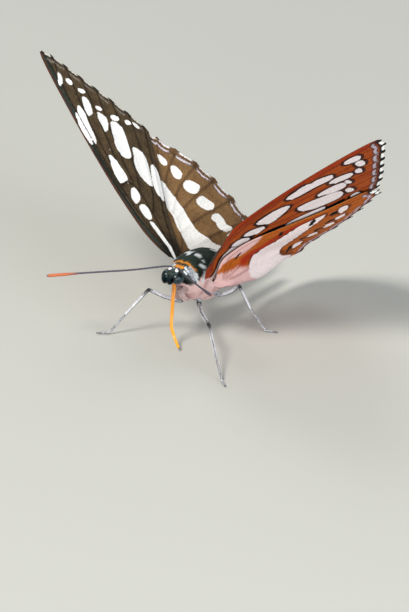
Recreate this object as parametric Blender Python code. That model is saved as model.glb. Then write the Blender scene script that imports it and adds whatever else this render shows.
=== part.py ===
"""Common sergeant butterfly, Athyma perius, at life size, standing with half-raised wings.

Sizes are in millimetres and MM turns them to metres where a mesh is made. A place on the
animal is written (forward, left, up) from the point midway between the fore wings' bases.
The animal faces -Y, its left is +X, and the floor it stands on is Z = 0.
"""

import math

import bmesh
import bpy
from mathutils import Matrix, Vector
from mathutils.bvhtree import BVHTree
from mathutils.geometry import delaunay_2d_cdt

MM = 0.001
GAP = 0.3                      # clearance between parts that meet
BASE_HEIGHT = 9.5              # fore wing bases above the floor
ORIGIN_BEHIND = 4.2            # frame origin behind the fore wing bases
SIDES = (("left", 1), ("right", -1))

# Wings: outward and rearward distances on each wing's own plane
MEMBRANE = 0.5                 # wing thickness
VEIN_RISE = 0.12               # ridge height above the membrane
VEIN_HALF = 0.25               # half of a ridge's width
PLAN_STEP = 1.7                # spacing of points along edges and veins
GRID_STEP = 2.3                # spacing of points on the open membrane
WING_BASE_LEFT = 2.41          # half of the distance between the wing bases
WING_GAP = 0.35                # hind wing's clearance below the fore wing
OVERLAP_EDGE = 0.6             # the hind wing starts to rise this far past the fore wing
OVERLAP_RISE = 7.0             # and lies on its own plane this much farther on

FORE_WING = {
    "base": (0.0, WING_BASE_LEFT, 0.3),
    "costa": [(0.5, -1.3), (2.2, -3.0), (5.0, -4.2), (10.0, -4.7), (15.0, -4.55),
              (20.0, -4.0), (24.5, -3.2), (28.5, -2.3), (31.5, -1.4), (32.9, -0.7)],
    "vein_ends": [(33.1, 0.0), (32.4, 1.7), (30.6, 3.5), (28.7, 5.5), (26.8, 7.5),
                  (24.8, 9.7), (22.6, 12.0), (20.2, 14.2)],
    "dorsum": [(19.3, 14.5), (16.5, 12.5), (13.1, 9.9), (9.5, 7.1), (6.0, 4.6),
               (3.0, 3.1), (0.9, 2.2)],
    "scallop": 0.25,
    "veins": [
        [(1.4, -1.0), (6.0, -3.3), (12.0, -4.0), (17.0, -4.1)],
        [(1.4, -0.6), (4.5, -2.0), (8.0, -2.8), (11.4, -2.9)],
        [(11.4, -2.9), (18.0, -2.8), (25.0, -1.8), (29.5, -0.9), (32.2, -0.3)],
        [(7.6, -2.75), (14.0, -3.5), (22.0, -3.2)],
        [(25.0, -1.8), (29.0, -0.2), (31.8, 1.4)],
        [(11.6, -2.2), (18.0, -1.3), (24.5, 0.6), (30.1, 3.1)],
        [(11.9, -1.2), (17.0, 0.6), (23.0, 3.0), (28.2, 5.1)],
        [(11.4, 0.5), (15.4, 1.7), (20.5, 3.9), (26.3, 7.1)],
        [(9.9, 0.9), (13.0, 3.0), (18.0, 6.0), (24.3, 9.3)],
        [(6.8, 0.8), (9.8, 4.0), (15.5, 7.9), (22.1, 11.6)],
        [(1.4, 0.2), (4.0, 0.4), (6.8, 0.8), (9.9, 0.9), (11.4, 0.5)],
        [(11.4, -2.9), (11.6, -2.2), (11.9, -1.2), (11.4, 0.5)],
        [(1.4, 0.9), (6.0, 3.2), (13.0, 8.3), (19.7, 13.4)],
    ],
}
FORE_POSE = {
    "left": {"turns": (43.5, 6.7, -16.8), "bend": (-0.014, -0.067, 0.175)},
    "right": {"turns": (44.5, 7.1, -16.6), "bend": (-0.041, -0.015, -0.063)},
}
FORE_LENGTH = 33.0

HIND_WING = {
    "base": (-2.0, WING_BASE_LEFT, -0.5),
    "costa": [(0.4, -0.7), (2.2, -1.9), (4.6, -2.2), (6.8, -2.0), (8.6, -1.1), (10.8, 0.9),
              (13.2, 3.2), (15.4, 5.3), (17.6, 7.0), (19.6, 8.4)],
    "vein_ends": [(20.4, 10.0), (20.3, 12.0), (19.1, 13.9), (16.5, 14.9), (13.7, 16.5),
                  (10.7, 17.9), (7.2, 18.8), (3.6, 18.9), (1.2, 18.2)],
    "dorsum": [(0.2, 16.8), (-0.5, 14.0), (-0.7, 10.5), (-0.4, 7.0), (0.2, 4.0), (0.4, 2.0)],
    "scallop": 0.45,
    "veins": [
        [(1.3, 0.1), (3.4, -1.2), (6.6, -1.3), (8.6, -0.3), (11.5, 2.3), (14.5, 5.2),
         (17.5, 7.6), (19.0, 8.8)],
        [(1.3, 0.4), (4.0, 0.0), (8.0, 1.7), (13.5, 5.8), (19.9, 11.5)],
        [(8.1, 2.1), (13.0, 7.2), (17.6, 12.1)],
        [(8.3, 3.0), (12.0, 8.0), (15.7, 13.8)],
        [(7.2, 4.4), (10.5, 9.5), (13.3, 15.8)],
        [(6.3, 4.5), (8.5, 10.5), (10.4, 17.2)],
        [(4.2, 3.4), (5.7, 10.5), (7.0, 18.1)],
        [(1.3, 0.7), (2.5, 2.1), (4.2, 3.4), (6.3, 4.5), (7.2, 4.4)],
        [(8.0, 1.7), (8.1, 2.1), (8.3, 3.0), (7.2, 4.4)],
        [(1.3, 1.2), (1.9, 4.5), (2.7, 11.0), (3.4, 18.1)],
    ],
}
HIND_TURNS = (38.0, 6.7, -10.0)

# Body: half sizes are along, across and upward, before the body's pitch
BODY_PITCH = 14.0
THORAX_CENTRE = (-1.1, 0.0, -1.0)
# Distance along the body's axis from the thorax's centre, half width, height above the
# axis and depth below it
THORAX_SECTIONS = [
    (4.7, 0.7, 0.65, 0.7), (4.3, 1.2, 1.0, 1.05), (3.8, 1.85, 1.25, 1.35),
    (3.28, 2.25, 1.5, 1.75), (2.6, 2.5, 2.05, 2.4), (1.9, 2.7, 2.4, 3.15),
    (1.2, 2.8, 2.6, 3.7), (0.0, 2.92, 2.7, 4.05), (-1.5, 2.95, 2.7, 4.25),
    (-2.9, 2.75, 2.45, 4.2), (-3.9, 2.3, 2.1, 3.5), (-4.6, 1.7, 1.65, 2.5),
    (-5.0, 1.2, 1.2, 1.7),
]
THORAX_CORNERS = 32
SECTION_STEP = 0.65            # spacing of the thorax's sections
THORAX_SIDE = 2.35             # flat sides of the thorax
SHOULDER_TILT = 36.9           # flat seats of the fore wings, above level
SHOULDER_REACH = 2.36          # shoulder seats from the thorax's centre
NECK_ALONG = 4.0               # flat front of the thorax, along the body's axis
WAIST_ALONG = -4.7             # flat back of the thorax, along the body's axis
HEAD_CENTRE = (3.8, 0.0, -0.1)
HEAD_HALF = (1.15, 1.3, 1.0)
HEAD_SIDE = 0.8                # flat seats of the eyes
EYE_CENTRE = (4.0, 0.75, -0.08)
EYE_HALF = (0.9, 0.82, 0.95)
ABDOMEN_DROOP = 15.0
ABDOMEN_LENGTH = 12.4
ABDOMEN_FRONT = 1.15
ABDOMEN_RADIUS = 1.45
ABDOMEN_TIP = 0.45
ABDOMEN_WIDEST = 0.3           # share of the abdomen's length from its front
ABDOMEN_RINGS = 7
RING_PINCH = 0.05              # share of the radius lost between two rings

# Legs: hip direction from the thorax's centre, then joints down to the foot's tip
TOE_LENGTH = 1.5
TOE_RISE = 0.18                # toe's centre line above the floor
TOE_TAPER = 0.85
ANKLE_SHARES = (0.4, 0.85)     # points of the foot between the last joint and the heel
ROOT_RUN = 0.5                 # a limb's first straight stretch
LEG_RADII = {"coxa": 0.42, "femur": 0.38, "knee": 0.3, "ankle": 0.26, "toe": 0.24}
WALKING_LEGS = {
    ("mid", "left"): {
        "hip": (0.2, 0.2, -0.96),
        "joints": [(0.7, 1.8, -5.05), (2.6, 3.4, -4.9), (5.0, 6.4, -5.0), (8.2, 9.7, -7.2)],
        "foot": (11.1, 13.2),
    },
    ("mid", "right"): {
        "hip": (0.2, -0.2, -0.96),
        "joints": [(0.9, -1.1, -5.05), (2.3, -2.6, -4.3), (3.5, -4.3, -3.3),
                   (5.5, -6.6, -6.7)],
        "foot": (7.7, -9.4),
    },
    ("hind", "left"): {
        "hip": (-0.33, 0.31, -0.89),
        "joints": [(-3.0, 2.35, -5.4), (-3.9, 3.4, -4.3), (-4.5, 4.4, -3.4), (-5.0, 5.8, -6.5)],
        "foot": (-6.0, 9.2),
    },
    ("hind", "right"): {
        "hip": (-0.33, -0.31, -0.89),
        "joints": [(-3.3, -2.35, -5.4), (-5.0, -3.0, -4.7), (-6.8, -3.6, -4.7),
                   (-10.6, -5.3, -7.6)],
        "foot": (-14.2, -6.6),
    },
}
FORELEG_HIP = (0.83, 0.15, -0.54)
FORELEG_JOINTS = [(2.6, 0.5, -3.1), (2.15, 0.52, -3.85), (1.75, 0.52, -4.4)]
FORELEG_RADII = [0.3, 0.3, 0.27, 0.2]

# Feelers and mouthparts
FEELER_STEP = 1.3
ANTENNA_SHAFT = 0.25
ANTENNA_CLUB = 0.45
CLUB_START = 0.72              # share of the antenna's length where the club begins
CLUB_SWELL = 0.14              # share of it in which the club reaches its full width
CLUB_END = 0.55
ANTENNA_ROOT = (-0.2, 0.5, 0.75)
ANTENNA_ROUTE = {
    "left": [(3.9, 1.3, 1.35), (4.6, 2.1, 1.25), (7.0, 4.8, 1.8), (10.2, 8.7, 2.85),
             (13.45, 12.7, 3.95)],
    "right": [(3.9, -1.3, 1.3), (4.6, -2.1, 1.0), (6.6, -4.8, 0.45), (9.7, -9.2, 0.06),
              (12.9, -13.7, -0.4)],
}
PALP_ROOT = (0.86, 0.24, -0.45)
PALP_ROUTE = [(5.45, 0.4, -0.6), (5.6, 0.4, -0.05), (5.5, 0.36, 0.45)]
PALP_RADII = [0.28, 0.28, 0.24, 0.13]
PROBOSCIS_ROOT = (-0.05, 0.0, -0.99)
PROBOSCIS_ROUTE = [(3.85, 0.0, -2.2), (4.1, 0.0, -3.4), (4.3, 0.0, -5.5), (4.7, 0.2, -6.9),
                   (5.15, 1.0, -8.1), (5.9, 2.2, -8.95)]
PROBOSCIS_RADIUS = 0.25
PROBOSCIS_TAPER = 0.8

COLOURS = {
    "thorax": (0.10, 0.13, 0.11),
    "abdomen": (0.22, 0.15, 0.10),
    "head": (0.10, 0.13, 0.12),
    "eye": (0.02, 0.05, 0.05),
    "antenna": (0.10, 0.09, 0.09),
    "palp": (0.62, 0.60, 0.62),
    "proboscis": (0.85, 0.42, 0.03),
    "leg": (0.62, 0.62, 0.66),
    "fore_wing": (0.10, 0.06, 0.035),
    "hind_wing": (0.22, 0.11, 0.05),
}
ROUGHNESS = {"eye": 0.15, "proboscis": 0.35, "leg": 0.55}
SCALY_ROUGHNESS = 0.8          # everything that is clothed in scales or fur
SHARP_ANGLE = 50.0


def clear_scene():
    for item in list(bpy.data.objects):
        bpy.data.objects.remove(item, do_unlink=True)


def material(name):
    """The plain finish of one kind of part."""
    made = bpy.data.materials.get(name)
    if made is None:
        made = bpy.data.materials.new(name)
        made.use_nodes = True
        shader = made.node_tree.nodes["Principled BSDF"]
        shader.inputs["Base Color"].default_value = (*COLOURS[name], 1.0)
        shader.inputs["Roughness"].default_value = ROUGHNESS.get(name, SCALY_ROUGHNESS)
        shader.inputs["Metallic"].default_value = 0.0
    return made


def world(place):
    """A place on the animal, (forward, left, up), as millimetres in the model's frame."""
    forward, left, up = place
    return Vector((left, -forward - ORIGIN_BEHIND, up + BASE_HEIGHT))


def world_direction(direction):
    """A direction on the animal turned to the model's axes."""
    forward, left, up = direction
    return Vector((left, -forward, up))


def add_object(name, bm, origin, finish, collection, parent):
    """Store a solid built in millimetres as an object with its origin at a place on it."""
    bmesh.ops.recalc_face_normals(bm, faces=bm.faces)
    bmesh.ops.translate(bm, vec=-origin, verts=bm.verts)
    bmesh.ops.scale(bm, vec=(MM, MM, MM), verts=bm.verts)
    mesh = bpy.data.meshes.new(name)
    bm.to_mesh(mesh)
    bm.free()
    mesh.shade_smooth()
    mesh.set_sharp_from_angle(angle=math.radians(SHARP_ANGLE))
    mesh.materials.append(material(finish))
    made = bpy.data.objects.new(name, mesh)
    made.location = origin * MM
    collection.objects.link(made)
    made.parent = parent
    return made


def smooth_route(points, step):
    """Points at about one spacing on a smooth curve through the given points."""
    given = [Vector(p) for p in points]
    ends = [given[0] * 2 - given[1]] + given + [given[-1] * 2 - given[-2]]
    route = []
    for before, start, stop, after in zip(ends, ends[1:], ends[2:], ends[3:]):
        count = max(1, round((stop - start).length / step))
        for k in range(count):
            f = k / count
            route.append(0.5 * (2 * start + (stop - before) * f
                                + (2 * before - 5 * start + 4 * stop - after) * f ** 2
                                + (3 * start - before - 3 * stop + after) * f ** 3))
    return route + [given[-1]]


def slice_off(bm, point, normal):
    """Cut away what lies beyond a plane and close the cut with one flat face."""
    geometry = bm.verts[:] + bm.edges[:] + bm.faces[:]
    cut = bmesh.ops.bisect_plane(bm, geom=geometry, dist=0.0005, plane_co=point,
                                 plane_no=normal, clear_outer=True)
    rim = [e for e in cut["geom_cut"] if isinstance(e, bmesh.types.BMEdge)]
    bmesh.ops.contextual_create(bm, geom=rim)


def ball(centre, half, pitch, segments, rings):
    """An ellipsoid: half sizes along, across and upward, tipped nose up by the pitch."""
    bm = bmesh.new()
    bmesh.ops.create_uvsphere(bm, u_segments=segments, v_segments=rings, radius=1.0)
    along, across, upward = half
    bmesh.ops.scale(bm, vec=(across, along, upward), verts=bm.verts)
    bmesh.ops.rotate(bm, cent=(0, 0, 0), verts=bm.verts,
                     matrix=Matrix.Rotation(-math.radians(pitch), 3, "X"))
    bmesh.ops.translate(bm, vec=world(centre), verts=bm.verts)
    return bm


def on_ball(centre, half, pitch, direction, side=1):
    """The point of an ellipsoid in one direction from its centre, and its outward normal."""
    forward, left, up = direction
    turn = Matrix.Rotation(-math.radians(pitch), 3, "X")
    ray = turn.transposed() @ Vector((left * side, -forward, up))
    along, across, upward = half
    sizes = Vector((across, along, upward))
    reach = math.sqrt(sum((ray[i] / sizes[i]) ** 2 for i in range(3)))
    local = ray / reach
    normal = Vector([local[i] / sizes[i] ** 2 for i in range(3)]).normalized()
    return world(centre) + turn @ local, turn @ normal


def tube(route, radii, resolution):
    """A closed round rod along a route, with its own radius at each point."""
    curve = bpy.data.curves.new("rod", "CURVE")
    curve.dimensions = "3D"
    curve.bevel_depth = 1.0
    curve.bevel_resolution = resolution
    curve.use_fill_caps = True
    spline = curve.splines.new("POLY")
    spline.points.add(len(route) - 1)
    for point, place, radius in zip(spline.points, route, radii):
        point.co = (*place, 1.0)
        point.radius = radius
    rod = bpy.data.objects.new("rod", curve)
    bpy.context.scene.collection.objects.link(rod)
    evaluated = rod.evaluated_get(bpy.context.evaluated_depsgraph_get())
    mesh = bpy.data.meshes.new_from_object(evaluated)
    bm = bmesh.new()
    bm.from_mesh(mesh)
    bmesh.ops.remove_doubles(bm, verts=bm.verts, dist=0.001)
    bpy.data.objects.remove(rod, do_unlink=True)
    bpy.data.curves.remove(curve)
    bpy.data.meshes.remove(mesh)
    return bm


def spread(values, count):
    """A short list of sizes spread evenly over more points."""
    out = []
    for k in range(count):
        f = k / (count - 1) * (len(values) - 1)
        i = min(int(f), len(values) - 2)
        out.append(values[i] + (values[i + 1] - values[i]) * (f - i))
    return out


def rooted_route(root, normal, points, step):
    """A smooth route that leaves its root squarely and goes on through the points."""
    start = root + normal * GAP
    return smooth_route([start, start + normal * ROOT_RUN] + points, step)


def scalloped(ends, depth, inside):
    """The outer edge between vein ends, each bay drawn in towards a point inside."""
    edge = []
    for start, stop in zip(ends, ends[1:]):
        chord = stop - start
        inward = Vector((-chord.y, chord.x)).normalized()
        if inward.dot(inside - start) < 0:
            inward.negate()
        for f in (0.0, 0.35, 0.65):
            edge.append(start + chord * f + inward * depth * math.sin(math.pi * f))
    return edge + [ends[-1]]


def distance_to_line(point, line):
    """Shortest distance from a point to a polyline on the wing's plane."""
    best = math.inf
    for start, stop in zip(line, line[1:]):
        run = stop - start
        f = max(0.0, min(1.0, (point - start).dot(run) / run.length_squared))
        best = min(best, (point - start - run * f).length)
    return best


def inside_outline(point, outline):
    """Whether a point of the wing's plane lies inside a closed outline."""
    inside = False
    for a, b in zip(outline, outline[1:] + outline[:1]):
        if (a.y > point.y) != (b.y > point.y):
            if point.x < a.x + (point.y - a.y) * (b.x - a.x) / (b.y - a.y):
                inside = not inside
    return inside


def wing_plan(wing):
    """Outline, vein lines and triangles of one wing on its own plane."""
    middle = Vector((10.0, 5.0))
    costa = smooth_route(wing["costa"], PLAN_STEP)
    dorsum = smooth_route(wing["dorsum"], PLAN_STEP)
    ends = [Vector(p) for p in wing["vein_ends"]]
    root = [dorsum[-1].lerp(costa[0], f) for f in (1 / 3, 2 / 3)]
    outline = costa + scalloped(ends, wing["scallop"], middle) + dorsum + root
    veins = [smooth_route(v, PLAN_STEP) for v in wing["veins"]]
    points = list(outline)
    edges = [(i, (i + 1) % len(outline)) for i in range(len(outline))]

    def add_line(line):
        first = len(points)
        points.extend(line)
        edges.extend((first + i, first + i + 1) for i in range(len(line) - 1))

    for vein in veins:
        add_line(vein)
        others = [v for v in veins if v is not vein]
        for hand in (-1, 1):
            run = []
            for i, point in enumerate(vein):
                ahead = vein[min(i + 1, len(vein) - 1)] - vein[max(i - 1, 0)]
                aside = Vector((-ahead.y, ahead.x)).normalized() * hand * VEIN_HALF
                place = point + aside
                if min(distance_to_line(place, o) for o in others) > VEIN_HALF * 1.3:
                    run.append(place)
                else:
                    if len(run) > 1:
                        add_line(run)
                    run = []
            if len(run) > 1:
                add_line(run)
    columns = int(FORE_LENGTH / GRID_STEP) + 1
    for i in range(columns):
        for j in range(-3, columns):
            place = Vector((i * GRID_STEP, (j + 0.5 * (i % 2)) * GRID_STEP))
            if not inside_outline(place, outline):
                continue
            if distance_to_line(place, outline + outline[:1]) < 0.5 * GRID_STEP:
                continue
            if min(distance_to_line(place, v) for v in veins) < 0.45 * GRID_STEP:
                continue
            points.append(place)
    made, _, faces, _, _, _ = delaunay_2d_cdt(points, edges, [], 0, 0.01)
    kept = []
    for face in faces:
        centre = sum((made[i] for i in face), Vector((0.0, 0.0))) / 3
        if inside_outline(centre, outline):
            kept.append(face)
    return {"outline": outline, "root": root + [dorsum[-1], costa[0]], "veins": veins,
            "points": made, "faces": kept}


class WingFrame:
    """A wing's plane in space: base, outward, rearward and upper directions."""

    def __init__(self, base, turns, side, bend=(0.0, 0.0, 0.0)):
        dihedral, sweep, twist = (math.radians(a) for a in turns)
        turn = (Matrix.Rotation(dihedral, 3, "X") @ Matrix.Rotation(sweep, 3, "Z")
                @ Matrix.Rotation(twist, 3, "Y"))
        out = turn @ Vector((0.0, 1.0, 0.0))
        rear = turn @ Vector((-1.0, 0.0, 0.0))
        top = out.cross(rear)
        flip = Vector((1.0, side, 1.0))
        self.out, self.rear, self.top = (world_direction(v * flip) for v in (out, rear, top))
        self.base = world(Vector(base) * flip)
        self.bend = bend

    def rise(self, s, t):
        """Height of the bent membrane over the flat plane."""
        b0, b1, b2 = self.bend
        return (b0 * s * s + b1 * s * t + b2 * t * t) / FORE_LENGTH

    def point(self, s, t, height):
        return (self.base + self.out * s + self.rear * t
                + self.top * (self.rise(s, t) + height))

    def local(self, place):
        """Outward and rearward distances of a place, and its height over the membrane."""
        offset = place - self.base
        s, t = offset.dot(self.out), offset.dot(self.rear)
        return s, t, offset.dot(self.top) - self.rise(s, t)


def clear_below(place, over, dorsum):
    """How far a place of the hind wing is lowered to lie under the fore wing."""
    s, t, height = over.local(place)
    needed = MEMBRANE + 2 * VEIN_RISE + WING_GAP
    edge = min(dorsum, key=lambda p: abs(p.x - s)).y
    beyond = max(0.0, min(1.0, (t - edge - OVERLAP_EDGE) / OVERLAP_RISE))
    fade = 1.0 - beyond ** 2 * (3.0 - 2.0 * beyond)
    return over.top * -(max(0.0, height + needed) * fade)


def wing_solid(plan, frame, seat_point, seat_normal, over=None, over_dorsum=None):
    """The membrane with its veins raised on both faces and a flat root."""
    bm = bmesh.new()
    root = plan["root"]
    layers = []
    for hand in (1, -1):
        layer = []
        for p in plan["points"]:
            near = min(distance_to_line(p, v) for v in plan["veins"])
            ridge = VEIN_RISE * max(0.0, 1.0 - near / VEIN_HALF)
            middle = frame.point(p.x, p.y, 0.0)
            shift = clear_below(middle, over, over_dorsum) if over else Vector((0, 0, 0))
            place = middle + shift + frame.top * (hand * (MEMBRANE / 2 + ridge))
            if min((p - r).length for r in root) < 0.01:
                run = (seat_point - place).dot(seat_normal) / frame.out.dot(seat_normal)
                place += frame.out * run
            layer.append(bm.verts.new(place))
        layers.append(layer)
    upper, lower = layers
    used = {}
    for a, b, c in plan["faces"]:
        bm.faces.new((upper[a], upper[b], upper[c]))
        bm.faces.new((lower[c], lower[b], lower[a]))
        for edge in ((a, b), (b, c), (c, a)):
            key = tuple(sorted(edge))
            used[key] = used.get(key, 0) + 1
    for (a, b), count in used.items():
        if count == 1:
            bm.faces.new((upper[a], upper[b], lower[b]))
            bm.faces.new((upper[a], lower[b], lower[a]))
    loose = [v for v in bm.verts if not v.link_faces]
    bmesh.ops.delete(bm, geom=loose, context="VERTS")
    return bm


def shoulder_seat(side):
    """The flat seat of a fore wing on the thorax: a point on it and its normal."""
    tilt = math.radians(SHOULDER_TILT)
    normal = world_direction((0.0, math.cos(tilt) * side, math.sin(tilt)))
    return world(THORAX_CENTRE) + normal * SHOULDER_REACH, normal


def make_wings(collection, parent):
    fore_plan = wing_plan(FORE_WING)
    hind_plan = wing_plan(HIND_WING)
    dorsum = smooth_route(FORE_WING["dorsum"], 0.5)
    for name, side in SIDES:
        pose = FORE_POSE[name]
        fore = WingFrame(FORE_WING["base"], pose["turns"], side, pose["bend"])
        seat, normal = shoulder_seat(side)
        bm = wing_solid(fore_plan, fore, seat + normal * GAP, normal)
        add_object(f"forewing_{name}", bm, fore.base, "fore_wing", collection, parent)
        hind = WingFrame(HIND_WING["base"], HIND_TURNS, side)
        wall = Vector((side * (THORAX_SIDE + GAP), 0.0, 0.0))
        bm = wing_solid(hind_plan, hind, wall, Vector((side, 0.0, 0.0)), fore, dorsum)
        add_object(f"hindwing_{name}", bm, hind.base, "hind_wing", collection, parent)


def body_axis():
    pitch = math.radians(BODY_PITCH)
    return world_direction((math.cos(pitch), 0.0, math.sin(pitch)))


def thorax_body():
    """The thorax before its flat seats are cut, as sections of unlike halves on its axis."""
    pitch = math.radians(BODY_PITCH)
    upward = world_direction((-math.sin(pitch), 0.0, math.cos(pitch)))
    bm = bmesh.new()
    rings = []
    for along, width, above, below in smooth_route(THORAX_SECTIONS, SECTION_STEP):
        middle = world(THORAX_CENTRE) + body_axis() * along
        ring = []
        for k in range(THORAX_CORNERS):
            angle = 2.0 * math.pi * k / THORAX_CORNERS
            height = math.sin(angle) * (above if math.sin(angle) > 0.0 else below)
            place = middle + Vector((math.cos(angle) * width, 0.0, 0.0)) + upward * height
            ring.append(bm.verts.new(place))
        rings.append(ring)
    for one, two in zip(rings, rings[1:]):
        for k in range(THORAX_CORNERS):
            bm.faces.new((one[k], one[k - 1], two[k - 1], two[k]))
    bm.faces.new(rings[0])
    bm.faces.new(rings[-1])
    bmesh.ops.recalc_face_normals(bm, faces=bm.faces)
    return bm


def on_thorax(direction):
    """Where a line from the thorax's centre leaves its surface, and the outward normal."""
    way = world_direction(direction).normalized()
    bm = thorax_body()
    place, normal, _, _ = BVHTree.FromBMesh(bm).ray_cast(world(THORAX_CENTRE), way)
    bm.free()
    return place, normal


def make_thorax(collection, parent):
    bm = thorax_body()
    for _, side in SIDES:
        slice_off(bm, Vector((side * THORAX_SIDE, 0.0, 0.0)), Vector((side, 0.0, 0.0)))
        slice_off(bm, *shoulder_seat(side))
    slice_off(bm, neck_point(), body_axis())
    slice_off(bm, waist_point(), -body_axis())
    add_object("thorax", bm, world(THORAX_CENTRE), "thorax", collection, parent)


def neck_point():
    """Middle of the thorax's flat front, on the body's axis."""
    return world(THORAX_CENTRE) + body_axis() * NECK_ALONG


def waist_point():
    """Middle of the thorax's flat back, on the body's axis."""
    return world(THORAX_CENTRE) + body_axis() * WAIST_ALONG


def make_head(collection, parent):
    bm = ball(HEAD_CENTRE, HEAD_HALF, BODY_PITCH, 24, 14)
    slice_off(bm, neck_point() + body_axis() * GAP, -body_axis())
    for _, side in SIDES:
        slice_off(bm, Vector((side * HEAD_SIDE, 0.0, 0.0)), Vector((side, 0.0, 0.0)))
    add_object("head", bm, world(HEAD_CENTRE), "head", collection, parent)
    for name, side in SIDES:
        forward, left, up = EYE_CENTRE
        centre = (forward, left * side, up)
        bm = ball(centre, EYE_HALF, 0.0, 18, 12)
        inner = Vector((side * (HEAD_SIDE + GAP), 0.0, 0.0))
        slice_off(bm, inner, Vector((-side, 0.0, 0.0)))
        add_object(f"eye_{name}", bm, world(centre), "eye", collection, parent)


def make_abdomen(collection, parent):
    """A tapered body with low rings, hung from the back of the thorax."""
    droop = math.radians(ABDOMEN_DROOP)
    axis = world_direction((-math.cos(droop), 0.0, -math.sin(droop)))
    start = waist_point() - body_axis() * GAP
    route, radii = [], []
    count = ABDOMEN_RINGS * 3
    for k in range(count + 1):
        f = k / count
        swell = math.sin(0.5 * math.pi * min(1.0, f / ABDOMEN_WIDEST))
        taper = 1.0 - max(0.0, f - ABDOMEN_WIDEST) / (1.0 - ABDOMEN_WIDEST)
        radius = ABDOMEN_FRONT + (ABDOMEN_RADIUS - ABDOMEN_FRONT) * swell
        radius = ABDOMEN_TIP + (radius - ABDOMEN_TIP) * math.sqrt(taper)
        radii.append(radius * (1.0 - RING_PINCH * (k % 3 == 0)))
        route.append(start + axis * (ABDOMEN_LENGTH * f))
    bm = tube(route, radii, 5)
    slice_off(bm, start, body_axis())
    add_object("abdomen", bm, start, "abdomen", collection, parent)


def make_legs(collection, parent):
    """Four walking legs on flat toes, and the small fore legs folded under the head."""
    radii = LEG_RADII
    for (pair, name), leg in WALKING_LEGS.items():
        root, normal = on_thorax(leg["hip"])
        joints = [world(p) for p in leg["joints"]]
        tip = world((*leg["foot"], TOE_RISE - BASE_HEIGHT))
        level = tip - joints[-1]
        level.z = 0.0
        heel = tip - level.normalized() * TOE_LENGTH
        start = root + normal * GAP
        route = [start, start + normal * ROOT_RUN] + joints
        route += [joints[-1].lerp(heel, f) for f in ANKLE_SHARES] + [heel, tip]
        sizes = [radii["coxa"], radii["coxa"], radii["femur"], radii["femur"],
                 radii["knee"], radii["ankle"], radii["toe"], radii["toe"],
                 radii["toe"], radii["toe"] * TOE_TAPER]
        bm = tube(route, sizes, 2)
        slice_off(bm, Vector((0.0, 0.0, 0.0)), Vector((0.0, 0.0, -1.0)))
        add_object(f"{pair}leg_{name}", bm, start, "leg", collection, parent)
    for name, side in SIDES:
        flip = Vector((1.0, side, 1.0))
        root, normal = on_thorax(Vector(FORELEG_HIP) * flip)
        joints = [world(Vector(p) * flip) for p in FORELEG_JOINTS]
        start = root + normal * GAP
        bm = tube([start] + joints, FORELEG_RADII, 2)
        add_object(f"foreleg_{name}", bm, start, "leg", collection, parent)


def make_feelers(collection, parent):
    """Antennae with clubs, the palps before the face and the lowered proboscis."""
    for name, side in SIDES:
        flip = Vector((1.0, side, 1.0))
        root, normal = on_ball(HEAD_CENTRE, HEAD_HALF, BODY_PITCH, ANTENNA_ROOT, side)
        points = [world(p) for p in ANTENNA_ROUTE[name]]
        route = rooted_route(root, normal, points, FEELER_STEP)
        sizes = []
        for k in range(len(route)):
            f = k / (len(route) - 1)
            club = max(0.0, min(1.0, (f - CLUB_START) / CLUB_SWELL))
            tip = 1.0 if k < len(route) - 1 else CLUB_END
            sizes.append((ANTENNA_SHAFT + (ANTENNA_CLUB - ANTENNA_SHAFT) * club) * tip)
        add_object(f"antenna_{name}", tube(route, sizes, 2), route[0], "antenna",
                   collection, parent)
        root, normal = on_ball(HEAD_CENTRE, HEAD_HALF, BODY_PITCH, PALP_ROOT, side)
        points = [world(Vector(p) * flip) for p in PALP_ROUTE]
        route = [root + normal * GAP] + points
        add_object(f"palp_{name}", tube(route, PALP_RADII, 2), route[0], "palp",
                   collection, parent)
    root, normal = on_ball(HEAD_CENTRE, HEAD_HALF, BODY_PITCH, PROBOSCIS_ROOT)
    route = smooth_route([root + normal * GAP] + [world(p) for p in PROBOSCIS_ROUTE],
                         FEELER_STEP)
    sizes = spread([PROBOSCIS_RADIUS, PROBOSCIS_RADIUS, PROBOSCIS_RADIUS * PROBOSCIS_TAPER],
                   len(route))
    add_object("proboscis", tube(route, sizes, 2), route[0], "proboscis", collection, parent)


def main():
    clear_scene()
    collection = bpy.data.collections.new("sergeant_butterfly")
    bpy.context.scene.collection.children.link(collection)
    parent = bpy.data.objects.new("butterfly", None)
    collection.objects.link(parent)
    make_thorax(collection, parent)
    make_head(collection, parent)
    make_abdomen(collection, parent)
    make_wings(collection, parent)
    make_legs(collection, parent)
    make_feelers(collection, parent)


main()
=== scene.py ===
"""Common sergeant butterfly, Athyma perius: wing pattern, fur and fine parts of the still model.

A place on the animal is written (forward, left, up) in millimetres from the point midway
between the fore wings' bases, and a place on a wing (outward, rearward) in millimetres from
that wing's base on its own plane. Meshes are built in millimetres and shrunk to metres last.
"""

import logging
import math
from dataclasses import dataclass, field
from enum import Enum
from functools import reduce

import bpy
import numpy as np
from mathutils import Matrix, Vector
from mathutils.geometry import delaunay_2d_cdt


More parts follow.
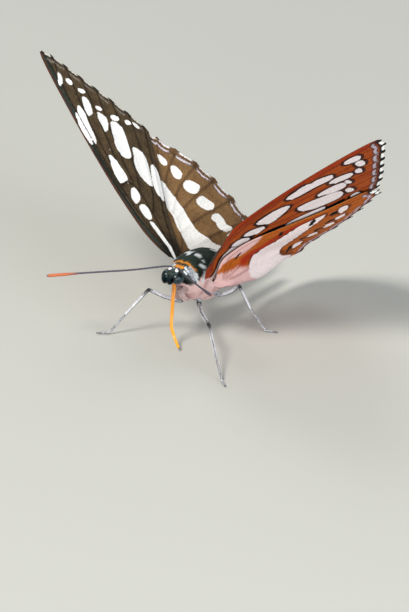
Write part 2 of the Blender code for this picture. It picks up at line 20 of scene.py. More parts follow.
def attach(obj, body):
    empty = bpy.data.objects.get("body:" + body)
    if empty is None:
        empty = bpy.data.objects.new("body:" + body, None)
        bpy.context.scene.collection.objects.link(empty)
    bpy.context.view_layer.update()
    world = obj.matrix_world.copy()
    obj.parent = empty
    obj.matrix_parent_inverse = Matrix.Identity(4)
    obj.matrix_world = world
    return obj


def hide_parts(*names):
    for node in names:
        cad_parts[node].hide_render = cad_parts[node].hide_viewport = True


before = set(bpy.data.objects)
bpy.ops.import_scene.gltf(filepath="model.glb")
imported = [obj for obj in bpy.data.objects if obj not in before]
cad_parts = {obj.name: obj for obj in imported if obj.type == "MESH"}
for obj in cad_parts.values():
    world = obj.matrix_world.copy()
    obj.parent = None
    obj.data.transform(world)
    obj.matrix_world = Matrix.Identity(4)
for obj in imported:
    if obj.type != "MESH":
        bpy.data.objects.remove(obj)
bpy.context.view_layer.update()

LOG = logging.getLogger("sergeant")
MM = 0.001
BASE_HEIGHT = 9.5              # fore wing bases above the floor
ORIGIN_BEHIND = 4.2            # frame origin behind the fore wing bases
BODY_PITCH = 14.0              # nose-up tilt of head and thorax, in degrees
THORAX_CENTRE = (-1.1, 0.0, -1.0)
PHOTO_HEIGHT = 612             # in pixels
TUFT_PATCH = 0.003             # width of one tuft's place on the bake map
MAP_EDGE = 0.02                # free edge of the bake map at either end of a skin
MAP_SPAN = 0.96                # share of the bake map between those edges
LEAST_GIRTH = 0.02             # narrowest row of a skin on the map, as a share of its widest
POLE_GAP = 0.02                # angle between a ball's pole and its first ring, in radians
TINY = 1e-6                    # keeps a direction from having no length

Place = tuple[float, float, float]
Spot = tuple[float, float]
Numbers = tuple[float, ...]
Tree = bpy.types.NodeTree
Socket = bpy.types.NodeSocket
Material = bpy.types.Material
Object = bpy.types.Object


class Side(Enum):
    """The animal's own left and right, as the sign of its leftward axis."""

    LEFT = 1
    RIGHT = -1

    @property
    def word(self) -> str:
        """The side's name as node names end."""
        return self.name.lower()


def to_row(places: np.ndarray) -> np.ndarray:
    """Places on the animal, (forward, left, up), as millimetres in the model's frame."""
    ahead, left, up = np.moveaxis(np.atleast_2d(places), -1, 0)
    return np.stack([left, -ahead - ORIGIN_BEHIND, up + BASE_HEIGHT], axis=-1)


def to_row_way(ways: np.ndarray) -> np.ndarray:
    """Directions on the animal, (forward, left, up), on the model's axes."""
    ahead, left, up = np.moveaxis(np.atleast_2d(ways), -1, 0)
    return np.stack([left, -ahead, up], axis=-1)


def unit(rows: np.ndarray) -> np.ndarray:
    """Rows scaled to length one."""
    return rows / np.maximum(np.linalg.norm(rows, axis=-1, keepdims=True), 1e-9)


def smooth_line(points: list, step: float, closed: bool = False) -> np.ndarray:
    """Points at about one spacing on a smooth curve through given points.

    Args:
        points: the curve's own points, of any dimension.
        step: spacing wanted.
        closed: whether the curve returns to its first point.

    Returns:
        The points as rows.
    """
    given = np.asarray(points, dtype=float)
    if closed:
        ends = np.vstack([given[-1], given, given[0], given[1]])
    else:
        ends = np.vstack([2 * given[0] - given[1], given, 2 * given[-1] - given[-2]])
    rows = []
    for before, start, stop, after in zip(ends, ends[1:], ends[2:], ends[3:]):
        count = max(1, round(float(np.linalg.norm(stop - start)) / step))
        f = (np.arange(count) / count)[:, None]
        rows.append(0.5 * (2 * start + (stop - before) * f
                           + (2 * before - 5 * start + 4 * stop - after) * f ** 2
                           + (3 * start - before - 3 * stop + after) * f ** 3))
    if not closed:
        rows.append(given[-1:])
    return np.vstack(rows)


def nearest_on_line(points: np.ndarray, line: np.ndarray) -> tuple[np.ndarray, np.ndarray]:
    """Distance from each point to a polyline and where along it the nearest place is.

    Args:
        points: rows of plan points.
        line: rows of the polyline.

    Returns:
        Distances, and places along the line in whole and part segments.
    """
    start, run = line[:-1], np.diff(line, axis=0)
    square = np.maximum((run ** 2).sum(axis=1), 1e-12)
    best = np.full(len(points), np.inf)
    where = np.zeros(len(points))
    for i in range(len(run)):
        offset = points - start[i]
        f = np.clip(offset @ run[i] / square[i], 0.0, 1.0)
        gap = np.linalg.norm(offset - f[:, None] * run[i], axis=1)
        closer = gap < best
        best[closer] = gap[closer]
        where[closer] = (i + f)[closer]
    return best, where


def inside(points: np.ndarray, outline: np.ndarray) -> np.ndarray:
    """Whether each plan point lies inside a closed outline."""
    a, b = outline, np.roll(outline, -1, axis=0)
    x, y = points[:, 0], points[:, 1]
    odd = np.zeros(len(points), dtype=bool)
    for p, q in zip(a, b):
        if p[1] != q[1]:
            crosses = (p[1] > y) != (q[1] > y)
            odd ^= crosses & (x < p[0] + (y - p[1]) * (q[0] - p[0]) / (q[1] - p[1]))
    return odd


def depth_inside(points: np.ndarray, outline: np.ndarray) -> np.ndarray:
    """Distance to a closed outline's edge, positive inside it."""
    gap, _ = nearest_on_line(points, np.vstack([outline, outline[:1]]))
    return np.where(inside(points, outline), gap, -gap)


def fade(value: np.ndarray, low: float, high: float) -> np.ndarray:
    """Zero below one value, one above another, and smooth between."""
    f = np.clip((value - low) / (high - low), 0.0, 1.0)
    return f * f * (3.0 - 2.0 * f)


# Meshes


@dataclass
class Shape:
    """A mesh in the making: its points, faces, finish numbers and fields on its points."""

    points: np.ndarray
    faces: list
    finishes: np.ndarray | None = None
    fields: dict[str, np.ndarray] = field(default_factory=dict)
    map: np.ndarray | None = None

    def joined(self, other: "Shape") -> "Shape":
        """Both shapes as one of a single finish; a field that one lacks is zero there.

        Args:
            other: the shape to add.

        Returns:
            The joined shape.
        """
        first = len(self.points)
        faces = list(self.faces) + [tuple(i + first for i in f) for f in other.faces]
        fields = {}
        for name, known in (self.fields | other.fields).items():
            both = [s.fields.get(name, np.zeros((len(s.points), *known.shape[1:])))
                    for s in (self, other)]
            fields[name] = np.concatenate(both)
        return Shape(np.vstack([self.points, other.points]), faces, None, fields)

    def hold(self, **values: float) -> "Shape":
        """This shape, with each named field at one value all over."""
        for name, value in values.items():
            self.fields[name] = np.full(len(self.points), value)
        return self


def make_object(name: str, shape: Shape, materials: list[Material]) -> Object:
    """Store a shape as an object, still in millimetres.

    Args:
        name: the piece's name.
        shape: points, faces, finish numbers and fields.
        materials: its finishes in the order of the finish numbers.

    Returns:
        The new object, linked to the scene.
    """
    mesh = bpy.data.meshes.new(name)
    mesh.from_pydata(shape.points.tolist(), [], [tuple(map(int, f)) for f in shape.faces])
    for material in materials:
        mesh.materials.append(material)
    if shape.finishes is not None:
        mesh.polygons.foreach_set("material_index", shape.finishes.astype(np.int32))
    if shape.map is not None:
        layer = mesh.uv_layers.new(name="skin_map")
        layer.data.foreach_set("uv", shape.map.astype(np.float32).ravel())
    for field_name, values in shape.fields.items():
        kind, key = ("FLOAT", "value") if values.ndim == 1 else ("FLOAT_VECTOR", "vector")
        store = mesh.attributes.new(field_name, kind, "POINT")
        store.data.foreach_set(key, values.astype(np.float32).ravel())
    mesh.shade_smooth()
    mesh.update()
    return link(name, mesh)


def link(name: str, data: bpy.types.ID) -> Object:
    """Put a mesh, light or camera in the scene as an object of the given name."""
    made = bpy.data.objects.new(name, data)
    bpy.context.scene.collection.objects.link(made)
    return made


def settle(piece: Object, slot: str, *nodes: str) -> None:
    """Shrink a piece to metres and let it ride on the model in place of its nodes.

    Args:
        piece: the finished piece, in millimetres.
        slot: the record's material slot; not used.
        nodes: the CAD nodes that it stands for.
    """
    piece.data.transform(Matrix.Scale(MM, 4))
    piece.data.update()
    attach(piece, "root")
    if nodes:
        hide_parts(*nodes)
    LOG.info("%s: %d faces", piece.name, len(piece.data.polygons))


def rings_to_shape(rings: np.ndarray, fields: dict[str, np.ndarray]) -> Shape:
    """Join rings of points to one closed skin with a point at either end.

    Args:
        rings: array of (ring, point, 3), each ring turning the same way.
        fields: values of (ring, point) or (ring, point, 3) by name.

    Returns:
        The shape, with a map that runs round in u and along in v.
    """
    count, sides = rings.shape[:2]
    ends = [rings[0].mean(axis=0), rings[-1].mean(axis=0)]
    points = np.vstack([rings.reshape(-1, 3), ends])
    girth = np.linalg.norm(np.diff(rings, axis=1), axis=2).sum(axis=1)
    girth = girth / girth.max()
    run = np.linalg.norm(np.diff(rings.mean(axis=1), axis=0), axis=1)
    along = np.concatenate([[0.0], np.cumsum(run)])
    along = MAP_EDGE + MAP_SPAN * along / along[-1]
    faces, corners = [], []

    def corner(i: int, j: int) -> Spot:
        """Place of ring i's corner j on the map."""
        return 0.5 + (j / sides - 0.5) * MAP_SPAN * max(girth[i], LEAST_GIRTH), along[i]

    for i in range(count - 1):
        low, high = i * sides, (i + 1) * sides
        for j in range(sides):
            k = (j + 1) % sides
            faces.append((low + j, low + k, high + k, high + j))
            corners += [corner(i, j), corner(i, j + 1), corner(i + 1, j + 1), corner(i + 1, j)]
    first, last = count * sides, count * sides + 1
    start, stop = (0.5, along[0] - 0.5 * MAP_EDGE), (0.5, along[-1] + 0.5 * MAP_EDGE)
    base = (count - 1) * sides
    for j in range(sides):
        k = (j + 1) % sides
        faces += [(first, k, j), (last, base + j, base + k)]
        corners += [start, corner(0, j + 1), corner(0, j)]
        corners += [stop, corner(count - 1, j), corner(count - 1, j + 1)]
    stored = {}
    for name, values in fields.items():
        flat = values.reshape(count * sides, *values.shape[2:])
        stored[name] = np.concatenate([flat, values[:1].mean(axis=1), values[-1:].mean(axis=1)])
    return Shape(points, faces, None, stored, np.asarray(corners))


def sweep(route: np.ndarray, radii: np.ndarray | Numbers, sides: int) -> Shape:
    """A closed round rod along a route.

    Args:
        route: rows of its centre line.
        radii: its radius at each of those points.
        sides: corners of its cross-section.

    Returns:
        The shape, with fields for its share along, its lie and how far it faces the sky.
    """
    way = unit(np.gradient(route, axis=0))
    across = unit(np.cross(way[0], (0.0, 0.0, 1.0)) + (TINY, 0.0, 0.0))
    rings, share, facing = [], [], []
    angles = np.arange(sides) / sides * 2.0 * math.pi
    for i in range(len(route)):
        across = unit(across - way[i] * (across @ way[i]))
        upward = np.cross(across, way[i])
        spokes = np.outer(np.cos(angles), across) + np.outer(np.sin(angles), upward)
        rings.append(route[i] + spokes * radii[i])
        share.append(np.full(sides, i / (len(route) - 1)))
        facing.append(unit(spokes)[:, 2])
    lie = np.repeat(way[:, None], sides, axis=1)
    shape = rings_to_shape(np.asarray(rings), {"along": np.asarray(share), "lie": lie,
                                               "skyward": np.asarray(facing)})
    return outward(shape, route[0], 0)


def outward(shape: Shape, core: np.ndarray, index: int) -> Shape:
    """Turn a shape's faces outward if they point inward, with their map corners.

    Args:
        shape: the shape to turn.
        core: a place inside it, near the face that is looked at.
        index: the number of that face.

    Returns:
        The same shape.
    """
    a, b, c = (shape.points[i] for i in shape.faces[index][:3])
    if np.cross(b - a, c - a) @ (a - core) > 0:
        return shape
    start = 0
    for n, f in enumerate(shape.faces):
        shape.faces[n] = tuple(reversed(f))
        if shape.map is not None:
            shape.map[start:start + len(f)] = shape.map[start:start + len(f)][::-1].copy()
        start += len(f)
    return shape


def ball_shape(centre: np.ndarray, half: Place, rings: int, sides: int) -> Shape:
    """A closed smooth ball with three half widths.

    Args:
        centre: its centre on the animal.
        half: half widths forward, left and up, in millimetres.
        rings: rings of points from top to bottom.
        sides: points in each ring.

    Returns:
        The shape, with its faces outward.
    """
    tilt = np.linspace(POLE_GAP, math.pi - POLE_GAP, rings)
    turn = np.arange(sides) / sides * 2.0 * math.pi
    forward = np.outer(np.sin(tilt), np.cos(turn)) * half[0]
    left = np.outer(np.sin(tilt), np.sin(turn)) * half[1]
    up = np.outer(np.cos(tilt), np.ones(sides)) * half[2]
    places = centre + np.stack([forward, left, up], axis=2)
    shape = rings_to_shape(to_row(places), {})
    shape.map = None
    return outward(shape, to_row(centre)[0], len(shape.faces) // 2)


def smooth_bent(places: list, widths: Numbers, step: float) -> np.ndarray:
    """A jointed line with slightly rounded bends, its radius and its part number.

    Args:
        places: joints, as (forward, left, up).
        widths: radius at each joint.
        step: spacing of points.

    Returns:
        Rows of (forward, left, up, radius, part and share of it).
    """
    given = np.column_stack([np.asarray(places), widths, np.arange(len(places))])
    rows = []
    for start, stop in zip(given, given[1:]):
        count = max(2, round(float(np.linalg.norm((stop - start)[:3])) / step))
        rows.append(start + (stop - start) * (np.arange(count) / count)[:, None])
    rows = np.vstack(rows + [given[-1:]])
    for _ in range(2):
        rows[1:-1, :4] = 0.25 * rows[:-2, :4] + 0.5 * rows[1:-1, :4] + 0.25 * rows[2:, :4]
    return rows


# Finishes

VECTOR_MATH = "ShaderNodeVectorMath"


def to_linear(code: str) -> tuple[float, float, float, float]:
    """Turn an sRGB hex colour to linear values.

    Args:
        code: six hex digits after a hash sign.

    Returns:
        Red, green, blue and an alpha of one.
    """
    parts = [int(code[i:i + 2], 16) / 255.0 for i in (1, 3, 5)]
    linear = [c / 12.92 if c <= 0.04045 else ((c + 0.055) / 1.055) ** 2.4 for c in parts]
    return (*linear, 1.0)


def add_node(tree: Tree, kind: str, inputs: dict | None = None,
             **settings: object) -> bpy.types.Node:
    """Add a node with its settings, and set or link its inputs.

    Args:
        tree: the tree that it joins.
        kind: Blender's name of the node.
        inputs: values, or sockets to link, by input name or number.
        settings: the node's own properties.

    Returns:
        The node.
    """
    node = tree.nodes.new(kind)
    for name, value in settings.items():
        setattr(node, name, value)
    for key, value in (inputs or {}).items():
        if isinstance(value, Socket):
            tree.links.new(value, node.inputs[key])
        else:
            node.inputs[key].default_value = value
    return node


def calculate(tree: Tree, operation: str, *values: object,
              kind: str = "ShaderNodeMath") -> Socket:
    """Add a node that works out one value from others.

    Args:
        tree: the tree that it joins.
        operation: Blender's name of the operation.
        values: its inputs in order, as values or sockets to link.
        kind: Blender's name of the node.

    Returns:
        The result's socket.
    """
    return add_node(tree, kind, dict(enumerate(values)), operation=operation).outputs[0]


def scaled(tree: Tree, vector: Socket, factor: float | Socket) -> Socket:
    """A vector multiplied by a number."""
    return add_node(tree, VECTOR_MATH, {0: vector, "Scale": factor}, operation="SCALE").outputs[0]


def millimetres(tree: Tree) -> Socket:
    """The object's own coordinates in millimetres."""
    return scaled(tree, add_node(tree, "ShaderNodeTexCoord").outputs["Object"], 1.0 / MM)


def field_value(tree: Tree, name: str, output: str = "Fac") -> Socket:
    """A field of the mesh, as a finish reads it."""
    return add_node(tree, "ShaderNodeAttribute", attribute_name=name).outputs[output]


def blend(tree: Tree, share: Socket, under: object, over: object) -> Socket:
    """One colour mixed over another by a share."""
    return add_node(tree, "ShaderNodeMix", {0: share, 6: under, 7: over},
                    data_type="RGBA").outputs[2]


@dataclass(frozen=True)
class Coat:
    """One colour laid where a field on the surface is above zero."""

    field: str
    colour: str
    soft: float = 0.06         # millimetres, or the field's own unit, over which it fades in
    ragged: float = 0.0        # how far single scales break its edge
    strength: float = 1.0


@dataclass(frozen=True)
class Finish:
    """What every finish of the butterfly shares; each kind draws its own tree."""

    name: str

    def build(self) -> Material:
        """Make the material.

        Returns:
            The material, drawn by this kind of finish.
        """
        made = bpy.data.materials.new(self.name)
        made.use_nodes = True
        self.draw(made.node_tree)
        return made

    def draw(self, tree: Tree) -> None:
        """Draw the finish; each kind does so in its own way."""
        raise NotImplementedError

    @staticmethod
    def lay(tree: Tree, coats: tuple[Coat, ...], colour: Socket, noise: Socket) -> Socket:
        """Lay coats over a colour, the lowest first.

        Args:
            tree: the material's tree.
            coats: the coats.
            colour: the base colour.
            noise: a value about one half that breaks their edges.

        Returns:
            The colour with its coats.
        """
        edge = calculate(tree, "SUBTRACT", noise, 0.5)
        for coat in coats:
            value = field_value(tree, coat.field)
            broken = calculate(tree, "MULTIPLY_ADD", edge, 2.0 * coat.ragged, value)
            share = add_node(tree, "ShaderNodeMapRange",
                             {0: broken, 1: -coat.soft, 2: coat.soft, 3: 0.0, 4: coat.strength},
                             interpolation_type="SMOOTHSTEP").outputs[0]
            colour = blend(tree, share, colour, to_linear(coat.colour))
        return colour

    @staticmethod
    def close(tree: Tree, colour: Socket, relief: dict[str, object],
              values: dict[str, float], invert: bool = False) -> None:
        """Lead the colour and the relief to the shader and set its own sockets.

        Args:
            tree: the material's tree.
            colour: the finished colour.
            relief: strength, depth and height of the relief by input name.
            values: the shader's other values by input name.
            invert: whether the relief's high places are pressed in.
        """
        shader = tree.nodes["Principled BSDF"]
        bump = add_node(tree, "ShaderNodeBump", relief, invert=invert)
        tree.links.new(colour, shader.inputs["Base Color"])
        tree.links.new(bump.outputs[0], shader.inputs["Normal"])
        for name, value in values.items():
            shader.inputs[name].default_value = value


@dataclass(frozen=True)
class ScaleFinish(Finish):
    """Chitin clothed in flat coloured scales, or in hair-like ones, matt with a faint sheen."""

    dark: str
    light: str
    coats: tuple[Coat, ...] = ()
    cell: float = 0.16         # width of one drawn scale, in millimetres
    patch: float = 2.4         # size of the cloudy change between dark and light
    mottle: float = 0.45       # how much single scales differ
    roughness: float = 0.7
    shine: float = 0.15        # strength of the mirror-like share
    plan: bool = True          # drawn on the wing's own plan rather than in space
    bump: float = 0.012        # depth of the scale relief, in millimetres
    tone: Spot = (0.86, 1.06)  # how dark and how bright single scales may be

    def draw(self, tree: Tree) -> None:
        """Draw single scales, each a little lighter or darker, with coats of colour on them.

        Args:
            tree: the material's tree.
        """
        place = field_value(tree, "plan", "Vector") if self.plan else millimetres(tree)
        cells = add_node(tree, "ShaderNodeTexVoronoi", {"Vector": place, "Scale": 1.0 / self.cell},
                         voronoi_dimensions="3D").outputs
        toss = add_node(tree, "ShaderNodeSeparateColor", {0: cells["Color"]}).outputs
        cloud = add_node(tree, "ShaderNodeTexNoise",
                         {"Vector": place, "Scale": 1.0 / self.patch, "Detail": 3.0})
        single = calculate(tree, "SUBTRACT", toss[0], 0.5)
        spread = calculate(tree, "MULTIPLY_ADD", single, self.mottle, cloud.outputs["Fac"])
        colour = blend(tree, spread, to_linear(self.dark), to_linear(self.light))
        colour = self.lay(tree, self.coats, colour, toss[1])
        least, most = self.tone
        tone = add_node(tree, "ShaderNodeMapRange", {0: toss[2], 3: least, 4: most})
        self.close(tree, scaled(tree, colour, tone.outputs[0]),
                   {"Strength": 0.6, "Distance": self.bump * MM, "Height": cells["Distance"]},
                   {"Roughness": self.roughness, "Specular IOR Level": self.shine, "IOR": 1.45})


@dataclass(frozen=True)
class CuticleFinish(Finish):
    """Bare hard cuticle: smooth and shining, with colours that change along the piece."""

    root: str
    tip: str
    coats: tuple[Coat, ...] = ()
    roughness: float = 0.3
    grain: float = 0.2
    bump: float = 0.01
    gloss: float = 0.2

    def draw(self, tree: Tree) -> None:
        """Change the colour along the piece, with a fine grain and coats of colour on it.

        Args:
            tree: the material's tree.
        """
        noise = {"Vector": millimetres(tree), "Scale": 1.0 / self.grain, "Detail": 4.0}
        grain = add_node(tree, "ShaderNodeTexNoise", noise).outputs["Fac"]
        shift = calculate(tree, "MULTIPLY_ADD", grain, 0.2, field_value(tree, "along"))
        share = add_node(tree, "ShaderNodeMapRange", {0: shift, 1: 0.1, 2: 1.1}).outputs[0]
        colour = blend(tree, share, to_linear(self.root), to_linear(self.tip))
        self.close(tree, self.lay(tree, self.coats, colour, grain),
                   {"Strength": 0.5, "Distance": self.bump * MM, "Height": grain},
                   {"Roughness": self.roughness, "Coat Weight": self.gloss,
                    "Coat Roughness": 0.15, "IOR": 1.56})


@dataclass(frozen=True)
class EyeFinish(Finish):
    """A compound eye: a clear lacquer-like cornea over dark facets set in rows, clouded with painted
    teal glints.
    """

    name: str = "eye_cornea"
    deep: str = "#030708"
    # painted reflection: this teal, clouded over the dark facets, stands for the eye's glints
    bright: str = "#12383F"
    facet: float = 0.07        # real facets are about a third of this, drawn coarser to show
    bump: float = 0.012        # depth of the relief between facets, in millimetres

    def draw(self, tree: Tree) -> None:
        """Cloud the dark facets faintly with painted teal glints and raise each one a little.

        Args:
            tree: the material's tree.
        """
        place = millimetres(tree)
        cells = add_node(tree, "ShaderNodeTexVoronoi",
                         {"Vector": place, "Scale": 1.0 / self.facet, "Randomness": 0.35})
        cloud = add_node(tree, "ShaderNodeTexNoise", {"Vector": place, "Scale": 1.1, "Detail": 2.0})
        share = add_node(tree, "ShaderNodeMapRange", {0: cloud.outputs["Fac"], 1: 0.42, 2: 0.68})
        colour = blend(tree, share.outputs[0], to_linear(self.deep), to_linear(self.bright))
        self.close(tree, colour, {"Strength": 0.5, "Distance": self.bump * MM,
                                  "Height": cells.outputs["Distance"]},
                   {"Roughness": 0.3, "IOR": 1.5, "Specular IOR Level": 0.35,
                    "Coat Weight": 0.25, "Coat Roughness": 0.12}, invert=True)


# Wings


@dataclass(frozen=True)
class WingShape:
    """Outline and veins of one wing on its own plane, as (outward, rearward) places."""

    base: Place
    costa: tuple[Spot, ...]
    vein_ends: tuple[Spot, ...]
    dorsum: tuple[Spot, ...]
    scallop: float
    veins: tuple[tuple[Spot, ...], ...]

    def margin(self) -> np.ndarray:
        """The outer edge between the first and last vein end, each bay drawn in."""
        ends = np.asarray(self.vein_ends)
        rows = []
        for start, stop in zip(ends, ends[1:]):
            chord = stop - start
            inward = unit(np.asarray((-chord[1], chord[0])))
            if inward @ (WING_MIDDLE - start) < 0:
                inward = -inward
            for f in np.arange(BAY_STEPS) / BAY_STEPS:
                rows.append(start + chord * f + inward * self.scallop * math.sin(math.pi * f))
        return np.asarray(rows + [ends[-1]])

    def outline(self) -> np.ndarray:
        """The whole closed edge: costa, margin, dorsum and root."""
        costa = smooth_line(self.costa, PLAN_STEP)
        dorsum = smooth_line(self.dorsum, PLAN_STEP)
        root = np.linspace(dorsum[-1], costa[0], ROOT_STEPS)[1:-1]
        return np.vstack([costa, self.margin(), dorsum, root])


@dataclass(frozen=True)
class Fold:
    """How far a wing's inner part hangs below its plane, down the body's side."""

    depth: float               # at the body, in millimetres
    reach: float               # how far out from the body it begins
    front: float               # share of the depth at the front edge
    rear: float                # share of it at the rear edge
    lead: float = 0.0          # how far the front edge bends down near the body

    def drop(self, plan: np.ndarray) -> np.ndarray:
        """Depth of the fold at plan points.

        Args:
            plan: rows of (outward, rearward).

        Returns:
            One depth for each point.
        """
        inner = fade(self.reach - plan[:, 0], 0.0, self.reach)
        ahead = self.front + (1.0 - self.front) * fade(plan[:, 1], *FOLD_FRONT)
        behind = 1.0 - (1.0 - self.rear) * fade(plan[:, 1], *FOLD_REAR)
        return self.depth * inner * ahead * behind


PLAN_STEP = 0.22               # spacing of a wing's points
BAY_STEPS = 12                 # points along each bay of the outer margin
NO_MARK = -5.0                 # depth at every place of a face with no such mark
HALF_THICK = 0.075             # half of the wing's own thickness
VEIN_RISE = 0.09               # ridge height above the membrane
VEIN_HALF = 0.22               # half of a ridge's width
PLEAT = 0.07                   # dip of the membrane between veins
CLEARANCE = 0.36               # hind wing's middle surface below the fore wing's
OVERLAP = (0.6, 7.0)           # how far behind the fore wing's rear edge the hind wing stays
                               # close to it, and how far on it takes to reach its own place
WING_MIDDLE = np.asarray((10.0, 5.0))      # a place inside either wing's outline
ROOT_STEPS = 14                # points along the root's edge
FOLD_FRONT = (-1.0, 2.5)       # between these places a fold deepens from the front edge
FOLD_REAR = (9.0, 17.0)        # between these it grows shallow towards the rear edge
LEAD_SPAN = (-2.0, 3.5, 11.0)  # where the front edge's bend begins, is deepest and ends
LEAD_WIDTH = 2.8               # how far from the front edge that bend reaches
VEIN_STEP = 0.3                # spacing of points along a vein
COSTA_STEP = 0.5               # the same along the front edge, where it is measured from
MARK_STEP = 0.35               # and along a mark's outline
MERGE = 0.02                   # points nearer than this become one
PLAN_REACH = ((-1.5, 34.0), (-6.0, 20.0))  # the places that hold every wing's outline
ROOT_CENTRE = (0.0, 0.4)
ROOT_REACH = 1.4               # the root is drawn inward within this radius
ROOT_PULL = 1.4                # and by this share of what is left of it
SAG_WIDTH = 1.1                # how far from a vein the membrane reaches its dip
SAG_EDGE = 1.5                 # the dips flatten out this near to the edge
EDGE_THIN = 0.35               # the edge's thickness as a share of the wing's
EDGE_ROUND = 0.4               # how far in from the edge it thins

FORE_WING = WingShape(
    base=(0.0, 2.41, 0.3),
    costa=((0.5, -1.3), (2.2, -3.0), (5.0, -4.2), (10.0, -4.7), (15.0, -4.55), (20.0, -4.0),
           (24.5, -3.2), (28.5, -2.3), (31.5, -1.4), (32.9, -0.7)),
    vein_ends=((33.1, 0.0), (32.4, 1.7), (30.6, 3.5), (28.7, 5.5), (26.8, 7.5), (24.8, 9.7),
               (22.6, 12.0), (20.2, 14.2)),
    dorsum=((19.3, 14.5), (16.5, 12.5), (13.1, 9.9), (9.5, 7.1), (6.0, 4.6), (3.0, 3.1),
            (0.9, 2.2)),
    scallop=0.25,
    veins=(
        ((1.4, -1.0), (6.0, -3.3), (12.0, -4.0), (17.0, -4.1)),
        ((1.4, -0.6), (4.5, -2.0), (8.0, -2.8), (11.4, -2.9)),
        ((11.4, -2.9), (18.0, -2.8), (25.0, -1.8), (29.5, -0.9), (32.2, -0.3)),
        ((7.6, -2.75), (14.0, -3.5), (22.0, -3.2)),
        ((25.0, -1.8), (29.0, -0.2), (31.8, 1.4)),
        ((11.6, -2.2), (18.0, -1.3), (24.5, 0.6), (30.1, 3.1)),
        ((11.9, -1.2), (17.0, 0.6), (23.0, 3.0), (28.2, 5.1)),
        ((11.4, 0.5), (15.4, 1.7), (20.5, 3.9), (26.3, 7.1)),
        ((9.9, 0.9), (13.0, 3.0), (18.0, 6.0), (24.3, 9.3)),
        ((6.8, 0.8), (9.8, 4.0), (15.5, 7.9), (22.1, 11.6)),
        ((1.4, 0.2), (4.0, 0.4), (6.8, 0.8), (9.9, 0.9), (11.4, 0.5)),
        ((11.4, -2.9), (11.6, -2.2), (11.9, -1.2), (11.4, 0.5)),
        ((1.4, 0.9), (6.0, 3.2), (13.0, 8.3), (19.7, 13.4)),
    ),
)
HIND_WING = WingShape(
    base=(-2.0, 2.41, -0.5),
    costa=((0.4, -0.7), (2.2, -1.9), (4.6, -2.2), (6.8, -2.0), (8.6, -1.1), (10.8, 0.9),
           (13.2, 3.2), (15.4, 5.3), (17.6, 7.0), (19.6, 8.4)),
    vein_ends=((20.4, 10.0), (20.3, 12.0), (19.1, 13.9), (16.5, 14.9), (13.7, 16.5),
               (10.7, 17.9), (7.2, 18.8), (3.6, 18.9), (1.2, 18.2)),
    dorsum=((0.2, 16.8), (-0.5, 14.0), (-0.7, 10.5), (-0.4, 7.0), (0.2, 4.0), (0.4, 2.0)),
    scallop=0.45,
    veins=(
        ((1.3, 0.1), (3.4, -1.2), (6.6, -1.3), (8.6, -0.3), (11.5, 2.3), (14.5, 5.2),
         (17.5, 7.6), (19.0, 8.8)),
        ((1.3, 0.4), (4.0, 0.0), (8.0, 1.7), (13.5, 5.8), (19.9, 11.5)),
        ((8.1, 2.1), (13.0, 7.2), (17.6, 12.1)),
        ((8.3, 3.0), (12.0, 8.0), (15.7, 13.8)),
        ((7.2, 4.4), (10.5, 9.5), (13.3, 15.8)),
        ((6.3, 4.5), (8.5, 10.5), (10.4, 17.2)),
        ((4.2, 3.4), (5.7, 10.5), (7.0, 18.1)),
        ((1.3, 0.7), (2.5, 2.1), (4.2, 3.4), (6.3, 4.5), (7.2, 4.4)),
        ((8.0, 1.7), (8.1, 2.1), (8.3, 3.0), (7.2, 4.4)),
        ((1.3, 1.2), (1.9, 4.5), (2.7, 11.0), (3.4, 18.1)),
    ),
)
FORE_POSE = {
    Side.LEFT: ((43.5, 6.7, -16.8), (-0.014, -0.067, 0.175)),
    Side.RIGHT: ((44.5, 7.1, -16.6), (-0.041, -0.015, -0.063)),
}
HIND_TURNS = (38.0, 6.7, -10.0)
FORE_FOLD = {Side.LEFT: Fold(1.4, 2.6, 1.0, 1.0, 1.7), Side.RIGHT: Fold(0.2, 2.6, 1.0, 1.0)}
HIND_FOLD = {Side.LEFT: Fold(2.8, 3.8, 0.55, 0.3), Side.RIGHT: Fold(0.9, 3.0, 0.55, 0.3)}
FORE_LENGTH = 33.0

